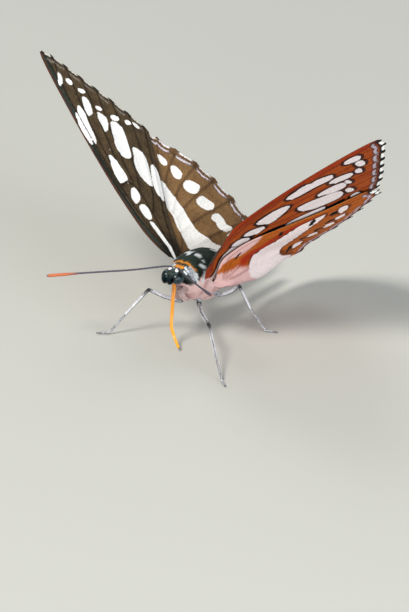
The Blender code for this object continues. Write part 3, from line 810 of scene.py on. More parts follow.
# Marks on each face of each wing, as closed outlines
FORE_UPPER_WHITE_AND_PAINTED_GLINTS = (
    ((0.4, -0.2), (0.6, 0.2), (3.0, 0.05), (5.2, -0.3), (5.7, -0.6), (5.7, -1.3), (5.1, -1.35),
     (3.0, -0.95), (1.2, -0.6)),
    ((6.0, -1.0), (6.6, -1.7), (7.9, -1.7), (8.4, -0.7), (8.2, 0.2), (7.4, 0.4), (6.3, 0.0)),
    ((8.6, -1.9), (9.4, -2.1), (10.2, -1.5), (10.9, -0.6), (10.9, 0.3), (10.2, 0.5),
     (9.3, 0.1), (8.8, -0.9)),
    ((11.8, -2.5), (12.3, -2.9), (13.6, -2.5), (15.3, -1.7), (16.2, -1.0), (16.2, -0.5),
     (15.0, -0.05), (13.3, 0.2), (12.3, -0.1), (12.0, -1.2)),
    ((18.0, -3.6), (18.9, -3.8), (20.9, -3.6), (22.3, -3.0), (23.1, -2.3), (22.4, -2.3),
     (20.6, -2.65), (18.3, -3.05)),
    ((18.1, -2.75), (20.5, -2.4), (22.8, -1.9), (23.9, -0.9), (24.1, -0.2), (23.0, -0.1),
     (21.0, -0.9), (19.0, -1.5), (18.3, -2.0)),
    ((27.3, -1.8), (27.9, -1.6), (28.8, -0.7), (29.5, 0.1), (29.2, 0.5), (28.5, 0.2),
     (27.7, -0.7)),
    ((27.4, 0.9), (27.9, 0.7), (28.4, 1.1), (28.3, 1.8), (27.8, 2.0), (27.4, 1.6)),
    ((22.4, 0.4), (23.3, 0.5), (24.6, 1.3), (25.4, 2.2), (25.2, 3.0), (24.3, 3.0), (23.0, 2.2),
     (22.5, 1.4)),
    ((26.0, 2.4), (26.4, 2.1), (26.75, 2.6), (26.6, 3.5), (26.2, 3.9), (25.9, 3.3)),
    ((23.1, 4.0), (23.4, 3.6), (23.8, 4.1), (23.7, 4.9), (23.3, 5.2), (23.0, 4.7)),
    ((19.7, 1.9), (20.4, 2.0), (21.8, 2.4), (22.7, 3.1), (22.7, 3.9), (22.0, 4.6), (21.1, 4.2),
     (20.0, 3.1)),
    ((15.4, 4.2), (15.5, 2.7), (16.4, 2.0), (18.0, 2.6), (20.0, 4.1), (21.2, 5.4), (20.9, 6.8),
     (19.6, 7.1), (18.0, 6.3), (16.4, 5.2)),
    ((21.3, 6.4), (21.8, 6.0), (22.2, 6.6), (22.1, 7.6), (21.6, 8.1), (21.2, 7.4)),
    ((10.8, 5.2), (11.3, 4.3), (12.9, 3.7), (14.5, 4.2), (15.6, 5.4), (16.9, 6.5), (16.8, 7.6),
     (15.6, 8.4), (14.4, 8.0), (12.6, 6.7)),
    ((8.4, 5.8), (9.5, 5.2), (10.9, 5.6), (12.5, 6.9), (14.0, 8.5), (13.6, 9.4), (12.2, 8.9),
     (10.0, 7.4)),
    ((20.5, 9.3), (21.1, 9.3), (21.3, 10.0), (21.1, 10.7), (20.6, 10.6)),
    ((20.3, 11.1), (20.9, 11.2), (20.6, 12.2), (19.9, 12.4), (19.8, 11.7)),
    # painted highlights: these two tiny white dots stand for glints of light on the scales
    ((11.6, -0.9), (11.8, -0.9), (11.8, -0.7), (11.6, -0.7)),
    ((16.8, 0.0), (17.0, 0.0), (17.0, 0.2), (16.8, 0.2)),
)
FORE_UNDER_PALE = (
    ((0.4, 1.1), (2.4, 0.3), (5.3, -0.4), (5.7, 0.0), (5.2, 0.7), (2.9, 1.1), (0.9, 1.8)),
    ((5.3, -0.4), (6.3, -1.1), (7.5, -0.9), (7.8, 0.1), (7.5, 0.9), (5.9, 0.9)),
    ((8.2, -1.0), (9.3, -1.3), (10.2, -0.7), (10.7, 0.3), (10.3, 0.9), (8.7, 0.8)),
    ((11.2, -1.5), (11.9, -2.0), (13.7, -1.9), (15.5, -1.1), (16.1, -0.4), (15.7, 0.3),
     (13.8, 0.8), (11.8, 0.7), (11.3, -0.2)),
    ((17.5, -2.1), (18.1, -2.5), (19.9, -2.6), (21.2, -2.4), (21.7, -1.7), (22.7, -1.5),
     (24.0, -0.4), (23.7, 0.5), (22.9, 0.8), (20.8, -0.1), (18.7, -0.7), (17.8, -1.3)),
    ((26.7, -0.4), (27.2, -1.1), (28.3, -0.9), (29.1, -0.3), (28.8, 0.5), (28.0, 0.9),
     (27.2, 0.3)),
    ((26.6, 2.0), (27.2, 1.1), (27.9, 1.2), (27.8, 2.2), (27.0, 3.2), (26.5, 2.8)),
    ((21.8, 1.8), (22.6, 1.2), (23.7, 1.6), (24.7, 2.5), (24.6, 3.4), (23.8, 3.9), (22.6, 3.3)),
    ((24.7, 4.0), (25.5, 2.9), (26.0, 3.1), (25.6, 4.2), (25.0, 4.8)),
    ((21.9, 5.2), (22.5, 4.0), (22.9, 4.0), (22.6, 5.2), (22.1, 5.9)),
    ((18.6, 3.0), (19.2, 2.4), (20.8, 2.8), (22.1, 3.8), (21.8, 5.1), (20.9, 5.7), (19.7, 4.9)),
    ((14.7, 3.8), (15.2, 2.4), (16.0, 2.1), (17.9, 3.4), (19.7, 5.2), (19.7, 6.5), (19.1, 7.5),
     (17.9, 7.9), (16.5, 7.0), (15.1, 5.5)),
    ((19.4, 8.2), (20.1, 6.8), (20.7, 6.9), (20.4, 8.1), (19.8, 8.9)),
    ((10.7, 5.0), (11.3, 4.4), (12.9, 4.9), (14.6, 6.2), (15.5, 7.4), (15.1, 8.2), (14.3, 8.1),
     (12.5, 6.7)),
    ((17.6, 11.0), (18.1, 10.2), (18.9, 10.1), (19.1, 10.9), (18.5, 11.7)),
)
FORE_UNDER_BLACK = (
    ((3.3, 1.6), (3.5, 1.0), (4.9, 1.1), (6.7, 1.7), (6.5, 2.3), (4.8, 1.9)),
    ((6.9, 2.3), (7.4, 1.7), (8.9, 1.9), (10.4, 2.7), (11.4, 3.9), (10.9, 4.5), (9.6, 3.6),
     (7.9, 2.9)),
    ((14.7, 8.5), (15.4, 8.2), (17.2, 9.0), (17.5, 9.7), (16.5, 10.4), (15.2, 9.7)),
    ((7.9, -1.5), (8.1, -1.5), (8.2, 1.0), (7.9, 1.1), (7.8, 0.0)),
    ((10.7, -1.5), (11.05, -1.5), (11.1, 1.0), (10.8, 1.1), (10.9, -0.1)),
    ((5.3, -0.9), (5.55, -0.9), (5.5, 0.8), (5.3, 0.8)),
)
HIND_UPPER_WHITE = (
    ((1.2, 3.2), (4.7, 3.4), (6.8, 4.2), (7.7, 3.7), (9.5, 3.4), (12.5, 5.0), (13.3, 7.0),
     (12.4, 7.0), (11.9, 7.35), (9.7, 7.5), (7.2, 7.25), (4.6, 6.7), (3.2, 6.9), (2.0, 7.8),
     (1.4, 8.9), (0.7, 11.5), (0.3, 15.0), (-0.6, 14.5), (-0.8, 9.0), (0.2, 4.2)),
    ((2.6, 11.6), (3.3, 11.0), (4.2, 11.4), (4.8, 10.9), (5.4, 11.9), (5.4, 13.1), (4.4, 13.5),
     (3.6, 13.2), (2.8, 13.8), (2.5, 12.8)),
    ((6.2, 11.4), (7.0, 10.5), (7.9, 10.5), (8.4, 11.6), (8.4, 12.7), (7.6, 13.3), (6.9, 13.7),
     (6.2, 12.7)),
    ((9.1, 11.0), (9.8, 10.4), (10.7, 10.6), (11.3, 11.6), (11.0, 12.7), (10.1, 13.5),
     (9.5, 12.8), (9.1, 12.0)),
    ((11.8, 10.9), (12.4, 10.5), (13.3, 10.8), (14.1, 11.5), (14.0, 12.2), (13.2, 12.4),
     (12.3, 12.0)),
    ((14.4, 10.5), (15.0, 10.0), (15.9, 10.2), (16.3, 10.9), (16.0, 11.5), (15.2, 11.7),
     (14.6, 11.3)),
    ((17.1, 9.6), (17.4, 9.3), (17.7, 9.8), (17.4, 10.2)),
    ((1.8, 11.8), (2.1, 11.9), (2.4, 14.5), (2.1, 15.0)),
)
HIND_UNDER_PALE = (
    ((1.6, 5.4), (3.0, 4.0), (5.4, 3.6), (7.2, 4.2), (9.1, 4.4), (11.5, 4.8), (13.0, 5.8),
     (14.4, 6.7), (13.1, 7.8), (10.9, 8.0), (8.6, 9.0), (6.7, 10.0), (4.0, 10.6), (2.5, 11.3),
     (1.2, 15.5), (-0.4, 15.5), (-0.2, 11.0), (0.6, 7.5)),
    ((14.0, 11.0), (14.7, 9.4), (15.6, 8.5), (16.4, 8.4), (16.4, 9.4), (15.3, 10.7)),
    ((11.2, 13.6), (11.6, 12.5), (12.7, 11.9), (13.4, 12.3), (13.0, 13.2), (12.0, 13.9)),
    ((8.5, 14.3), (8.8, 13.4), (9.8, 13.1), (10.3, 13.8), (9.8, 14.7), (9.0, 15.0)),
    ((5.6, 14.4), (5.7, 13.5), (6.5, 13.2), (7.1, 13.8), (6.8, 14.7), (6.1, 15.0)),
    ((2.6, 14.6), (2.9, 13.7), (3.8, 13.5), (4.3, 14.1), (3.8, 15.0), (3.1, 15.2)),
)
HIND_UNDER_BLACK = (
    ((3.1, 0.35), (3.4, 0.0), (4.0, -0.2), (4.9, -0.4), (5.0, -0.2), (4.1, 0.15), (3.7, 0.4),
     (3.3, 0.55)),
    ((13.5, 9.3), (13.9, 8.3), (14.8, 8.2), (15.0, 8.8), (14.3, 9.7)),
    ((10.3, 12.2), (10.7, 11.3), (11.6, 11.1), (12.0, 11.6), (11.4, 12.3)),
    ((7.6, 13.2), (7.9, 12.3), (8.7, 12.1), (8.9, 12.8), (8.3, 13.3)),
    ((4.9, 13.3), (5.1, 12.5), (5.9, 12.3), (6.1, 12.8), (5.5, 13.3)),
    ((2.2, 13.4), (2.4, 12.8), (3.2, 12.6), (3.4, 13.1), (2.8, 13.5)),
    ((8.9, 3.5), (9.0, 3.0), (10.2, 2.1), (10.3, 2.5), (9.4, 3.4)),
    ((11.1, 7.0), (12.6, 5.9), (13.2, 5.9), (12.6, 6.9), (11.3, 7.5)),
)
HIND_UNDER_RED = (
    ((2.6, 1.7), (4.4, 1.6), (7.0, 2.2), (9.2, 2.4), (11.0, 3.0), (12.6, 4.2), (14.4, 6.2),
     (14.3, 6.9), (12.4, 5.3), (10.3, 4.3), (8.0, 4.1), (5.6, 3.4), (3.6, 3.6), (2.4, 3.2)),
)
HIND_UNDER_PINK = (
    ((1.6, -1.6), (2.8, -2.6), (5.0, -2.6), (8.0, -2.0), (9.6, -1.2), (8.0, 0.0), (5.4, 0.6),
     (3.9, 0.5), (3.4, -0.6), (2.4, -1.5)),
    ((-1.2, -1.9), (1.0, -1.5), (1.4, -0.5), (1.9, 0.8), (2.4, 1.9), (2.2, 3.6), (2.0, 6.0),
     (1.4, 9.0), (0.8, 12.5), (0.8, 16.5), (-1.0, 16.0), (-1.2, 8.0)),
)


class WingSurface:
    """The middle surface of one wing as it is held."""

    def __init__(self, base: Place, turns: Place, side: Side, bend: Place = (0.0, 0.0, 0.0)):
        """Work out the wing's plane.

        Args:
            base: the wing's base on the left side.
            turns: dihedral, sweep and twist in degrees.
            side: which wing of the pair it is.
            bend: how the membrane rises from its plane towards the tip and the rear.
        """
        dihedral, sweep, twist = (math.radians(a) for a in turns)
        turn = np.asarray(Matrix.Rotation(dihedral, 3, "X") @ Matrix.Rotation(sweep, 3, "Z")
                          @ Matrix.Rotation(twist, 3, "Y"))
        out, rear = turn @ (0.0, 1.0, 0.0), turn @ (-1.0, 0.0, 0.0)
        top = np.cross(out, rear)
        flip = np.asarray((1.0, side.value, 1.0))
        self.out, self.rear, self.top = (to_row_way(v * flip)[0] for v in (out, rear, top))
        self.base = to_row(np.asarray(base) * flip)[0]
        self.bend = bend

    def rise(self, plan: np.ndarray) -> np.ndarray:
        """Height of the bent membrane over the flat plane."""
        s, t = plan[:, 0], plan[:, 1]
        b0, b1, b2 = self.bend
        return (b0 * s * s + b1 * s * t + b2 * t * t) / FORE_LENGTH

    def places(self, plan: np.ndarray) -> np.ndarray:
        """Places of plan points on the middle surface.

        Args:
            plan: rows of (outward, rearward).

        Returns:
            Rows of (x, y, z) in millimetres.
        """
        flat = np.outer(plan[:, 0], self.out) + np.outer(plan[:, 1], self.rear)
        return self.base + flat + np.outer(self.rise(plan), self.top)

    def nestled(self, places: np.ndarray, dorsum: np.ndarray) -> np.ndarray:
        """Places of a hind wing laid close under this fore wing where the two overlap.

        Args:
            places: the hind wing's places.
            dorsum: the fore wing's rear edge on its plan.

        Returns:
            The places, moved.
        """
        offset = places - self.base
        plan = np.column_stack([offset @ self.out, offset @ self.rear])
        height = offset @ self.top - self.rise(plan)
        nearest = np.abs(plan[:, :1] - dorsum[None, :, 0]).argmin(axis=1)
        beyond = fade(plan[:, 1] - dorsum[nearest, 1] - OVERLAP[0], 0.0, OVERLAP[1])
        return places - np.outer((height + CLEARANCE) * (1.0 - beyond), self.top)


@dataclass(frozen=True)
class PatternSizes:
    """Widths of the marks that follow a wing's edges and veins, in millimetres."""

    fringe: float = 0.42       # depth of the pale fringe in the middle of each bay
    bay: float = 0.27          # half of the fringe's length, as a share of its bay
    bay_end: float = 2.4       # how steeply the fringe ends
    bay_shift: float = 0.06    # lilac crescents are longer below and shorter above by this
    crescent: float = 1.0      # distance of the lilac crescents from the edge at a vein
    curve: float = 1.1         # how much they bow away from the edge between veins
    lilac: float = 0.2         # half of their width
    ring: float = 0.42         # half of the dark band about them
    line: float = 0.72         # depth of the dark band along the edge
    vein: float = 0.2
    costa: float = 1.25        # depth of the tint along the front edge
    lead: float = 0.35         # depth of the rust-coloured front edge
    root: float = 3.0          # radius of the dark root
    rim: float = 0.34          # half of the dark rim about the under face's pale marks
    rim_out: float = 0.12      # how far outside their edge that rim runs
    rim_gap: float = 0.3       # it stays this far from pink


class Face(Enum):
    """Which face of the wing a pattern is on."""

    UPPER = 0
    UNDER = 1


@dataclass
class WingPlan:
    """One wing's points, triangles and pattern fields, shared by its left and right copies."""

    shape: WingShape
    white: tuple               # marks on the upper face
    pale: tuple                # and on the under face, as the rest
    black: tuple
    red: tuple = ()
    pink: tuple = ()
    points: np.ndarray = field(init=False)
    faces: np.ndarray = field(init=False)

    def __post_init__(self) -> None:
        """Lay out the points and measure how each lies to veins, edges and marks."""
        self.outline = outline = self.shape.outline()
        self.veins = [smooth_line(v, VEIN_STEP) for v in self.shape.veins]
        points = np.vstack([outline, self.vein_points(), self.membrane_points()])
        edges = [(i, (i + 1) % len(outline)) for i in range(len(outline))]
        made, _, faces, *_ = delaunay_2d_cdt([Vector(p) for p in points], edges, [], 0, MERGE)
        self.points = np.asarray([tuple(p) for p in made])
        faces = np.asarray([f for f in faces if len(f) == 3])
        middle = self.points[faces].mean(axis=1)
        self.faces = faces[inside(middle, outline)]
        self.measure()

    def to_veins(self, points: np.ndarray) -> np.ndarray:
        """Distance from each point to the nearest vein."""
        return np.min([nearest_on_line(points, vein)[0] for vein in self.veins], axis=0)

    def deep_inside(self, points: np.ndarray, gap: float) -> np.ndarray:
        """Those of the points that lie farther inside the wing's edge than the gap."""
        return points[depth_inside(points, self.outline) > gap]

    def vein_points(self) -> np.ndarray:
        """Points along the crest and both sides of every vein.

        Returns:
            Rows of (outward, rearward).
        """
        rows = []
        for vein in self.veins:
            ahead = unit(np.gradient(vein, axis=0))
            aside = np.column_stack([-ahead[:, 1], ahead[:, 0]])
            rows += [vein + aside * hand * VEIN_HALF for hand in (-1.0, 0.0, 1.0)]
        return self.deep_inside(np.vstack(rows), 0.4 * PLAN_STEP)

    def membrane_points(self) -> np.ndarray:
        """Evenly spaced points between the veins, in staggered rows.

        Returns:
            Rows of (outward, rearward).
        """
        s, t = np.meshgrid(*(np.arange(*reach, PLAN_STEP) for reach in PLAN_REACH))
        s = s + 0.5 * PLAN_STEP * (np.arange(len(s)) % 2)[:, None]
        grid = self.deep_inside(np.column_stack([s.ravel(), t.ravel()]), 0.5 * PLAN_STEP)
        return grid[self.to_veins(grid) > VEIN_HALF + 0.4 * PLAN_STEP]

    def measure(self) -> None:
        """Work out every field of the pattern."""
        p = self.points
        self.to_vein = self.to_veins(p)
        self.to_edge = np.abs(depth_inside(p, self.outline))
        to_margin, where = nearest_on_line(p, self.shape.margin())
        bay = where / BAY_STEPS
        middle = np.abs(bay - np.floor(np.minimum(bay, len(self.shape.vein_ends) - 1.001)) - 0.5)
        self.to_costa = nearest_on_line(p, smooth_line(self.shape.costa, COSTA_STEP))[0]
        sizes = PatternSizes()
        off_crescent = np.abs(to_margin - sizes.crescent - sizes.curve * (0.25 - middle ** 2))
        shared = {
            "fringe": np.minimum(sizes.fringe - to_margin, (sizes.bay - middle) * sizes.bay_end),
            "line": sizes.line - to_margin,
            "ring": sizes.ring - off_crescent,
            "vein": sizes.vein - self.to_vein,
            "costa": sizes.costa - self.to_costa,
            "lead": sizes.lead - self.to_costa,
            "root": sizes.root - np.linalg.norm(p - (0.5, 0.5), axis=1),
        }
        given = {Face.UPPER: {"white": self.white},
                 Face.UNDER: {"white": self.pale, "black": self.black, "red": self.red,
                              "pink": self.pink}}
        self.fields = {}
        for face, reach in ((Face.UPPER, -sizes.bay_shift), (Face.UNDER, sizes.bay_shift)):
            fields = {name: self.marks(given[face].get(name, ())) for name in given[Face.UNDER]}
            fields["lilac"] = np.minimum(sizes.lilac - off_crescent,
                                         (sizes.bay + reach - middle) * 2.0)
            fields["rim"] = self.marks(())
            self.fields[face] = fields | shared
        under = self.fields[Face.UNDER]
        under["rim"] = np.minimum(sizes.rim - np.abs(under["white"] + sizes.rim_out),
                                  -sizes.rim_gap - under["pink"])

    def marks(self, outlines: tuple) -> np.ndarray:
        """Depth inside the nearest of several marks, with rounded corners.

        Args:
            outlines: closed outlines on the plan.

        Returns:
            One depth for each point.
        """
        depth = np.full(len(self.points), NO_MARK)
        for outline in outlines:
            rounded = smooth_line(outline, MARK_STEP, closed=True)
            depth = np.maximum(depth, depth_inside(self.points, rounded))
        return depth

    def build(self, surface: WingSurface, fold: Fold, over: WingSurface | None,
              dorsum: np.ndarray) -> Shape:
        """Both faces of the wing, its veins and its rim, as one closed shape.

        Args:
            surface: the wing's middle surface.
            fold: how its inner part hangs down the body's side.
            over: the fore wing that a hind wing lies under.
            dorsum: that fore wing's rear edge on its plan.

        Returns:
            The shape, with finish 0 on the upper face and 1 on the under face.
        """
        plan = self.points.copy()
        inner = np.maximum(0.0, ROOT_REACH - np.linalg.norm(plan - ROOT_CENTRE, axis=1))
        plan[:, 0] -= inner * ROOT_PULL
        middle = surface.places(plan)
        if over is not None:
            middle = over.nestled(middle, dorsum)
        middle = middle - np.outer(fold.drop(plan), (0.0, 0.0, 1.0))
        first, deepest, last = LEAD_SPAN
        lead = fade(plan[:, 0], first, deepest) * (1.0 - fade(plan[:, 0], deepest, last))
        lead = lead * (1.0 - np.clip(self.to_costa / LEAD_WIDTH, 0.0, 1.0)) ** 2
        middle = middle - np.outer(lead * fold.lead, surface.top)
        ridge = VEIN_RISE * np.maximum(0.0, 1.0 - (self.to_vein / VEIN_HALF) ** 2)
        sag = PLEAT * (np.exp(-(self.to_vein / SAG_WIDTH) ** 2) - 0.5)
        sag = sag * fade(self.to_edge, 0.0, SAG_EDGE)
        thin = EDGE_THIN + (1.0 - EDGE_THIN) * fade(self.to_edge, 0.0, EDGE_ROUND)
        half = HALF_THICK * thin + ridge
        upper = middle + np.outer(sag + half, surface.top)
        under = middle + np.outer(sag - half, surface.top)
        count = len(plan)
        tri = self.faces
        a, b, c = (upper[tri[0, k]] for k in range(3))
        if np.cross(b - a, c - a) @ surface.top < 0:
            tri = tri[:, ::-1]
        sides = [pair for x, y, z in tri.tolist() for pair in ((x, y), (y, z), (z, x))]
        known = set(sides)
        rims = [pair for pair in sides if pair[::-1] not in known]
        faces = [tuple(f) for f in tri] + [tuple(f + count) for f in tri[:, ::-1]]
        faces += [(y, x, x + count, y + count) for x, y in rims]
        finishes = np.concatenate([np.zeros(len(tri)), np.ones(len(tri)), np.zeros(len(rims))])
        fields = {name: np.concatenate([values, self.fields[Face.UNDER][name]])
                  for name, values in self.fields[Face.UPPER].items()}
        flat = np.column_stack([self.points, np.zeros(count)])
        fields["plan"] = np.vstack([flat, flat])
        return Shape(np.vstack([upper, under]), faces, finishes, fields)


FORE_UPPER = ScaleFinish(
    # Brown scales laid like tiles: matt, with the grain of single scales
    "fore_wing_upper_scales", dark="#231A10", light="#66543A", cell=0.15, patch=1.6,
    coats=(
        Coat("costa", "#1B3432", 0.3, 0.45, 0.85),
        Coat("lead", "#5A2A14", 0.15, 0.4, 0.7),
        Coat("root", "#17130E", 0.9, 0.8, 0.8),
        Coat("vein", "#1A120A", 0.1, 0.05, 0.75),
        Coat("lilac", "#A39A90", 0.12, 0.24, 0.5),
        Coat("line", "#1D160F", 0.15, 0.1, 0.85),
        Coat("white", "#FBFCFA", 0.05, 0.05),
        Coat("fringe", "#EFE8DC", 0.07, 0.12, 0.9),
    ))
HIND_UPPER = ScaleFinish(
    # The hind wing's scales are a warmer brown than the fore wing's
    "hind_wing_upper_scales", dark="#573F2A", light="#9A784E", cell=0.15, patch=2.2,
    coats=(
        Coat("vein", "#4A3424", 0.14, 0.05, 0.6),
        Coat("ring", "#3C2A1C", 0.12, 0.1, 0.7),
        Coat("line", "#4E3826", 0.15, 0.1, 0.7),
        Coat("lilac", "#DAD2DC", 0.1, 0.12, 0.95),
        Coat("white", "#FBFCFA", 0.06, 0.06),
        Coat("fringe", "#F2F0F0", 0.07, 0.1, 0.95),
    ))
FORE_UNDER = ScaleFinish(
    # Rust-coloured scales of the under face, with pale marks edged in black
    "fore_wing_under_scales", dark="#7A2304", light="#A8500F", cell=0.15, patch=2.6,
    coats=(
        Coat("costa", "#8A2204", 0.3, 0.2, 0.7),
        Coat("vein", "#5E1C04", 0.1, 0.04, 0.55),
        Coat("ring", "#2A1512", 0.1, 0.08, 0.75),
        Coat("line", "#120C10", 0.1, 0.06),
        Coat("lilac", "#B3A9B6", 0.1, 0.1, 0.95),
        Coat("rim", "#160A0A", 0.1, 0.06, 0.9),
        Coat("white", "#DACFD0", 0.05, 0.04),
        Coat("black", "#0A0709", 0.07, 0.05),
        Coat("fringe", "#F6F4F0", 0.06, 0.06),
    ))
HIND_UNDER = ScaleFinish(
    # The hind wing's under face: rust, pinkish white and lilac in bands
    "hind_wing_under_scales", dark="#96400A", light="#BC661A", cell=0.15, patch=2.6,
    coats=(
        Coat("red", "#9E2404", 0.5, 0.2),
        Coat("pink", "#DDB4B2", 0.3, 0.12),
        Coat("vein", "#7A3410", 0.12, 0.04, 0.4),
        Coat("ring", "#4A2A22", 0.1, 0.1, 0.6),
        Coat("line", "#151014", 0.1, 0.06),
        Coat("lilac", "#BDB2C4", 0.12, 0.12, 0.95),
        Coat("rim", "#22100E", 0.1, 0.08, 0.6),
        Coat("white", "#EBDCDC", 0.07, 0.05),
        Coat("black", "#0A0709", 0.08, 0.05),
        Coat("fringe", "#F6F4F0", 0.06, 0.06),
    ))


# Repeated small parts, set by node trees


@dataclass(frozen=True)
class Tuft:
    """Sizes of one kind of tuft, hair or scale, in millimetres."""

    length: float
    width: float
    thickness: float
    lift: float                # how far it stands from the skin, in degrees
    bend: float                # how far its tip bends back to the skin, as a share of length
    density: float             # tufts for each square millimetre
    vary: float = 0.35
    stray: float = 0.25


class ScatterTree:
    """A node tree that sets tufts over a surface, lying along its field of directions."""

    INPUTS = ("Length", "Width", "Thickness", "Lift", "Bend", "Density", "Vary", "Stray")

    def __init__(self, seed: int):
        """Build the tree.

        Args:
            seed: the fixed seed of its random draws.
        """
        self.tree = tree = bpy.data.node_groups.new("tuft_scatter", "GeometryNodeTree")
        face = tree.interface
        face.new_socket("Geometry", in_out="INPUT", socket_type="NodeSocketGeometry")
        for name in self.INPUTS:
            face.new_socket(name, in_out="INPUT", socket_type="NodeSocketFloat")
        face.new_socket("Material", in_out="INPUT", socket_type="NodeSocketMaterial")
        face.new_socket("Geometry", in_out="OUTPUT", socket_type="NodeSocketGeometry")
        self.given = g = add_node(tree, "NodeGroupInput").outputs
        fields = (("reach", "FLOAT"), ("cover", "FLOAT"), ("lie", "FLOAT_VECTOR"))
        reach, cover, lie = (
            add_node(tree, "GeometryNodeInputNamedAttribute", {0: name}, data_type=kind).outputs[0]
            for name, kind in fields)
        points = add_node(tree, "GeometryNodeDistributePointsOnFaces",
                          {"Mesh": g["Geometry"], "Seed": seed,
                           "Density": calculate(tree, "MULTIPLY", g["Density"], cover)},
                          distribute_method="RANDOM").outputs
        placed = add_node(tree, "GeometryNodeInstanceOnPoints",
                          {"Points": points["Points"], "Instance": self.blade(),
                           "Rotation": self.turn(points["Normal"], lie, seed + 1),
                           "Scale": self.size(reach, seed + 2)})
        real = add_node(tree, "GeometryNodeRealizeInstances", {0: placed.outputs[0]})
        dressed = add_node(tree, "GeometryNodeSetMaterial",
                           {"Geometry": real.outputs[0], "Material": g["Material"]})
        add_node(tree, "NodeGroupOutput", {0: dressed.outputs[0]})

    def turn(self, normal: Socket, lie: Socket, seed: int) -> Socket:
        """How each tuft is turned: along the lie of the coat, strayed and lifted.

        Args:
            normal: the surface's outward direction.
            lie: the direction that tufts lie in.
            seed: the seed of the straying.

        Returns:
            The rotation.
        """
        tree, g = self.tree, self.given
        loose = add_node(tree, "FunctionNodeRandomValue",
                         {0: (-1.0, -1.0, -1.0), 1: (1.0, 1.0, 1.0), "Seed": seed},
                         data_type="FLOAT_VECTOR").outputs[0]
        way = calculate(tree, "ADD", lie, scaled(tree, loose, g["Stray"]), kind=VECTOR_MATH)
        level = add_node(tree, VECTOR_MATH, {0: way, 1: normal}, operation="DOT_PRODUCT")
        upward = scaled(tree, normal, level.outputs["Value"])
        flat = calculate(tree, "SUBTRACT", way, upward, kind=VECTOR_MATH)
        flat = calculate(tree, "NORMALIZE", flat, kind=VECTOR_MATH)
        lifted = scaled(tree, normal, calculate(tree, "TANGENT", g["Lift"]))
        ahead = calculate(tree, "ADD", flat, lifted, kind=VECTOR_MATH)
        turn = add_node(tree, "FunctionNodeAlignRotationToVector", {"Vector": ahead}, axis="Z")
        turn = add_node(tree, "FunctionNodeAlignRotationToVector",
                        {"Rotation": turn.outputs[0], "Vector": normal}, axis="X", pivot_axis="Z")
        return turn.outputs[0]

    def size(self, reach: Socket, seed: int) -> Socket:
        """Each tuft's own size, varied at random.

        Args:
            reach: the size wanted at that place.
            seed: the seed of the variation.

        Returns:
            The scale.
        """
        tree, g = self.tree, self.given
        low, high = (calculate(tree, sign, 1.0, g["Vary"]) for sign in ("SUBTRACT", "ADD"))
        drawn = add_node(tree, "FunctionNodeRandomValue", {2: low, 3: high, "Seed": seed},
                         data_type="FLOAT").outputs[1]
        return calculate(tree, "MULTIPLY", drawn, reach)

    def blade(self) -> Socket:
        """One tapered, bent tuft that stands on its root, longest along Z.

        Returns:
            The tuft's geometry.
        """
        tree, g = self.tree, self.given
        cone = add_node(tree, "GeometryNodeMeshCone",
                        {"Vertices": 3, "Side Segments": 2, "Fill Segments": 1,
                         "Radius Top": 0.06, "Radius Bottom": 0.5, "Depth": 1.0},
                        fill_type="NGON")
        spot = add_node(tree, "GeometryNodeInputPosition").outputs[0]
        x, y, z = add_node(tree, "ShaderNodeSeparateXYZ", {0: spot}).outputs
        bent = calculate(tree, "MULTIPLY", calculate(tree, "POWER", z, 2.0),
                         calculate(tree, "MULTIPLY", g["Bend"], g["Length"]))
        thin = calculate(tree, "MULTIPLY", x, g["Thickness"])
        moved = add_node(tree, "ShaderNodeCombineXYZ",
                         {0: calculate(tree, "SUBTRACT", thin, bent),
                          1: calculate(tree, "MULTIPLY", y, g["Width"]),
                          2: calculate(tree, "MULTIPLY", z, g["Length"])})
        note = add_node(tree, "GeometryNodeStoreNamedAttribute",
                        {"Geometry": cone.outputs[0], "Name": "blade", "Value": spot},
                        data_type="FLOAT_VECTOR", domain="POINT")
        return add_node(tree, "GeometryNodeSetPosition",
                        {"Geometry": note.outputs[0], "Position": moved.outputs[0]}).outputs[0]

    def grow(self, name: str, ground: Object, tuft: Tuft, material: Material) -> Object:
        """Set tufts over an object's surface and keep them as a plain mesh of their own.

        Args:
            name: the new piece's name.
            ground: the surface, with fields lie, reach and cover, still in millimetres.
            tuft: the tuft's sizes.
            material: the finish.

        Returns:
            The tufts as one object, in millimetres, with its bake map.
        """
        modifier = ground.modifiers.new("tufts", "NODES")
        modifier.node_group = self.tree
        values = {"Length": tuft.length, "Width": tuft.width, "Thickness": tuft.thickness,
                  "Lift": math.radians(tuft.lift), "Bend": tuft.bend, "Density": tuft.density,
                  "Vary": tuft.vary, "Stray": tuft.stray, "Material": material}
        for item in self.tree.interface.items_tree:
            if item.in_out == "INPUT" and item.name in values:
                modifier[item.identifier] = values[item.name]
        evaluated = ground.evaluated_get(bpy.context.evaluated_depsgraph_get())
        mesh = bpy.data.meshes.new_from_object(evaluated)
        ground.modifiers.remove(modifier)
        mesh.name = name
        mesh.shade_smooth()
        self.map_tufts(mesh)
        return link(name, mesh)

    def clothe(self, names: tuple[str, str], shape: Shape, tuft: Tuft, finish: Material) -> Object:
        """Make a limb and settle the tufts that clothe it.

        Args:
            names: names of the limb and of its tufts.
            shape: the limb, with fields lie, reach and cover.
            tuft: the tuft's sizes.
            finish: the finish of both.

        Returns:
            The limb, not yet settled.
        """
        limb = make_object(names[0], shape, [finish])
        settle(self.grow(names[1], limb, tuft, finish), "pale_scale")
        return limb

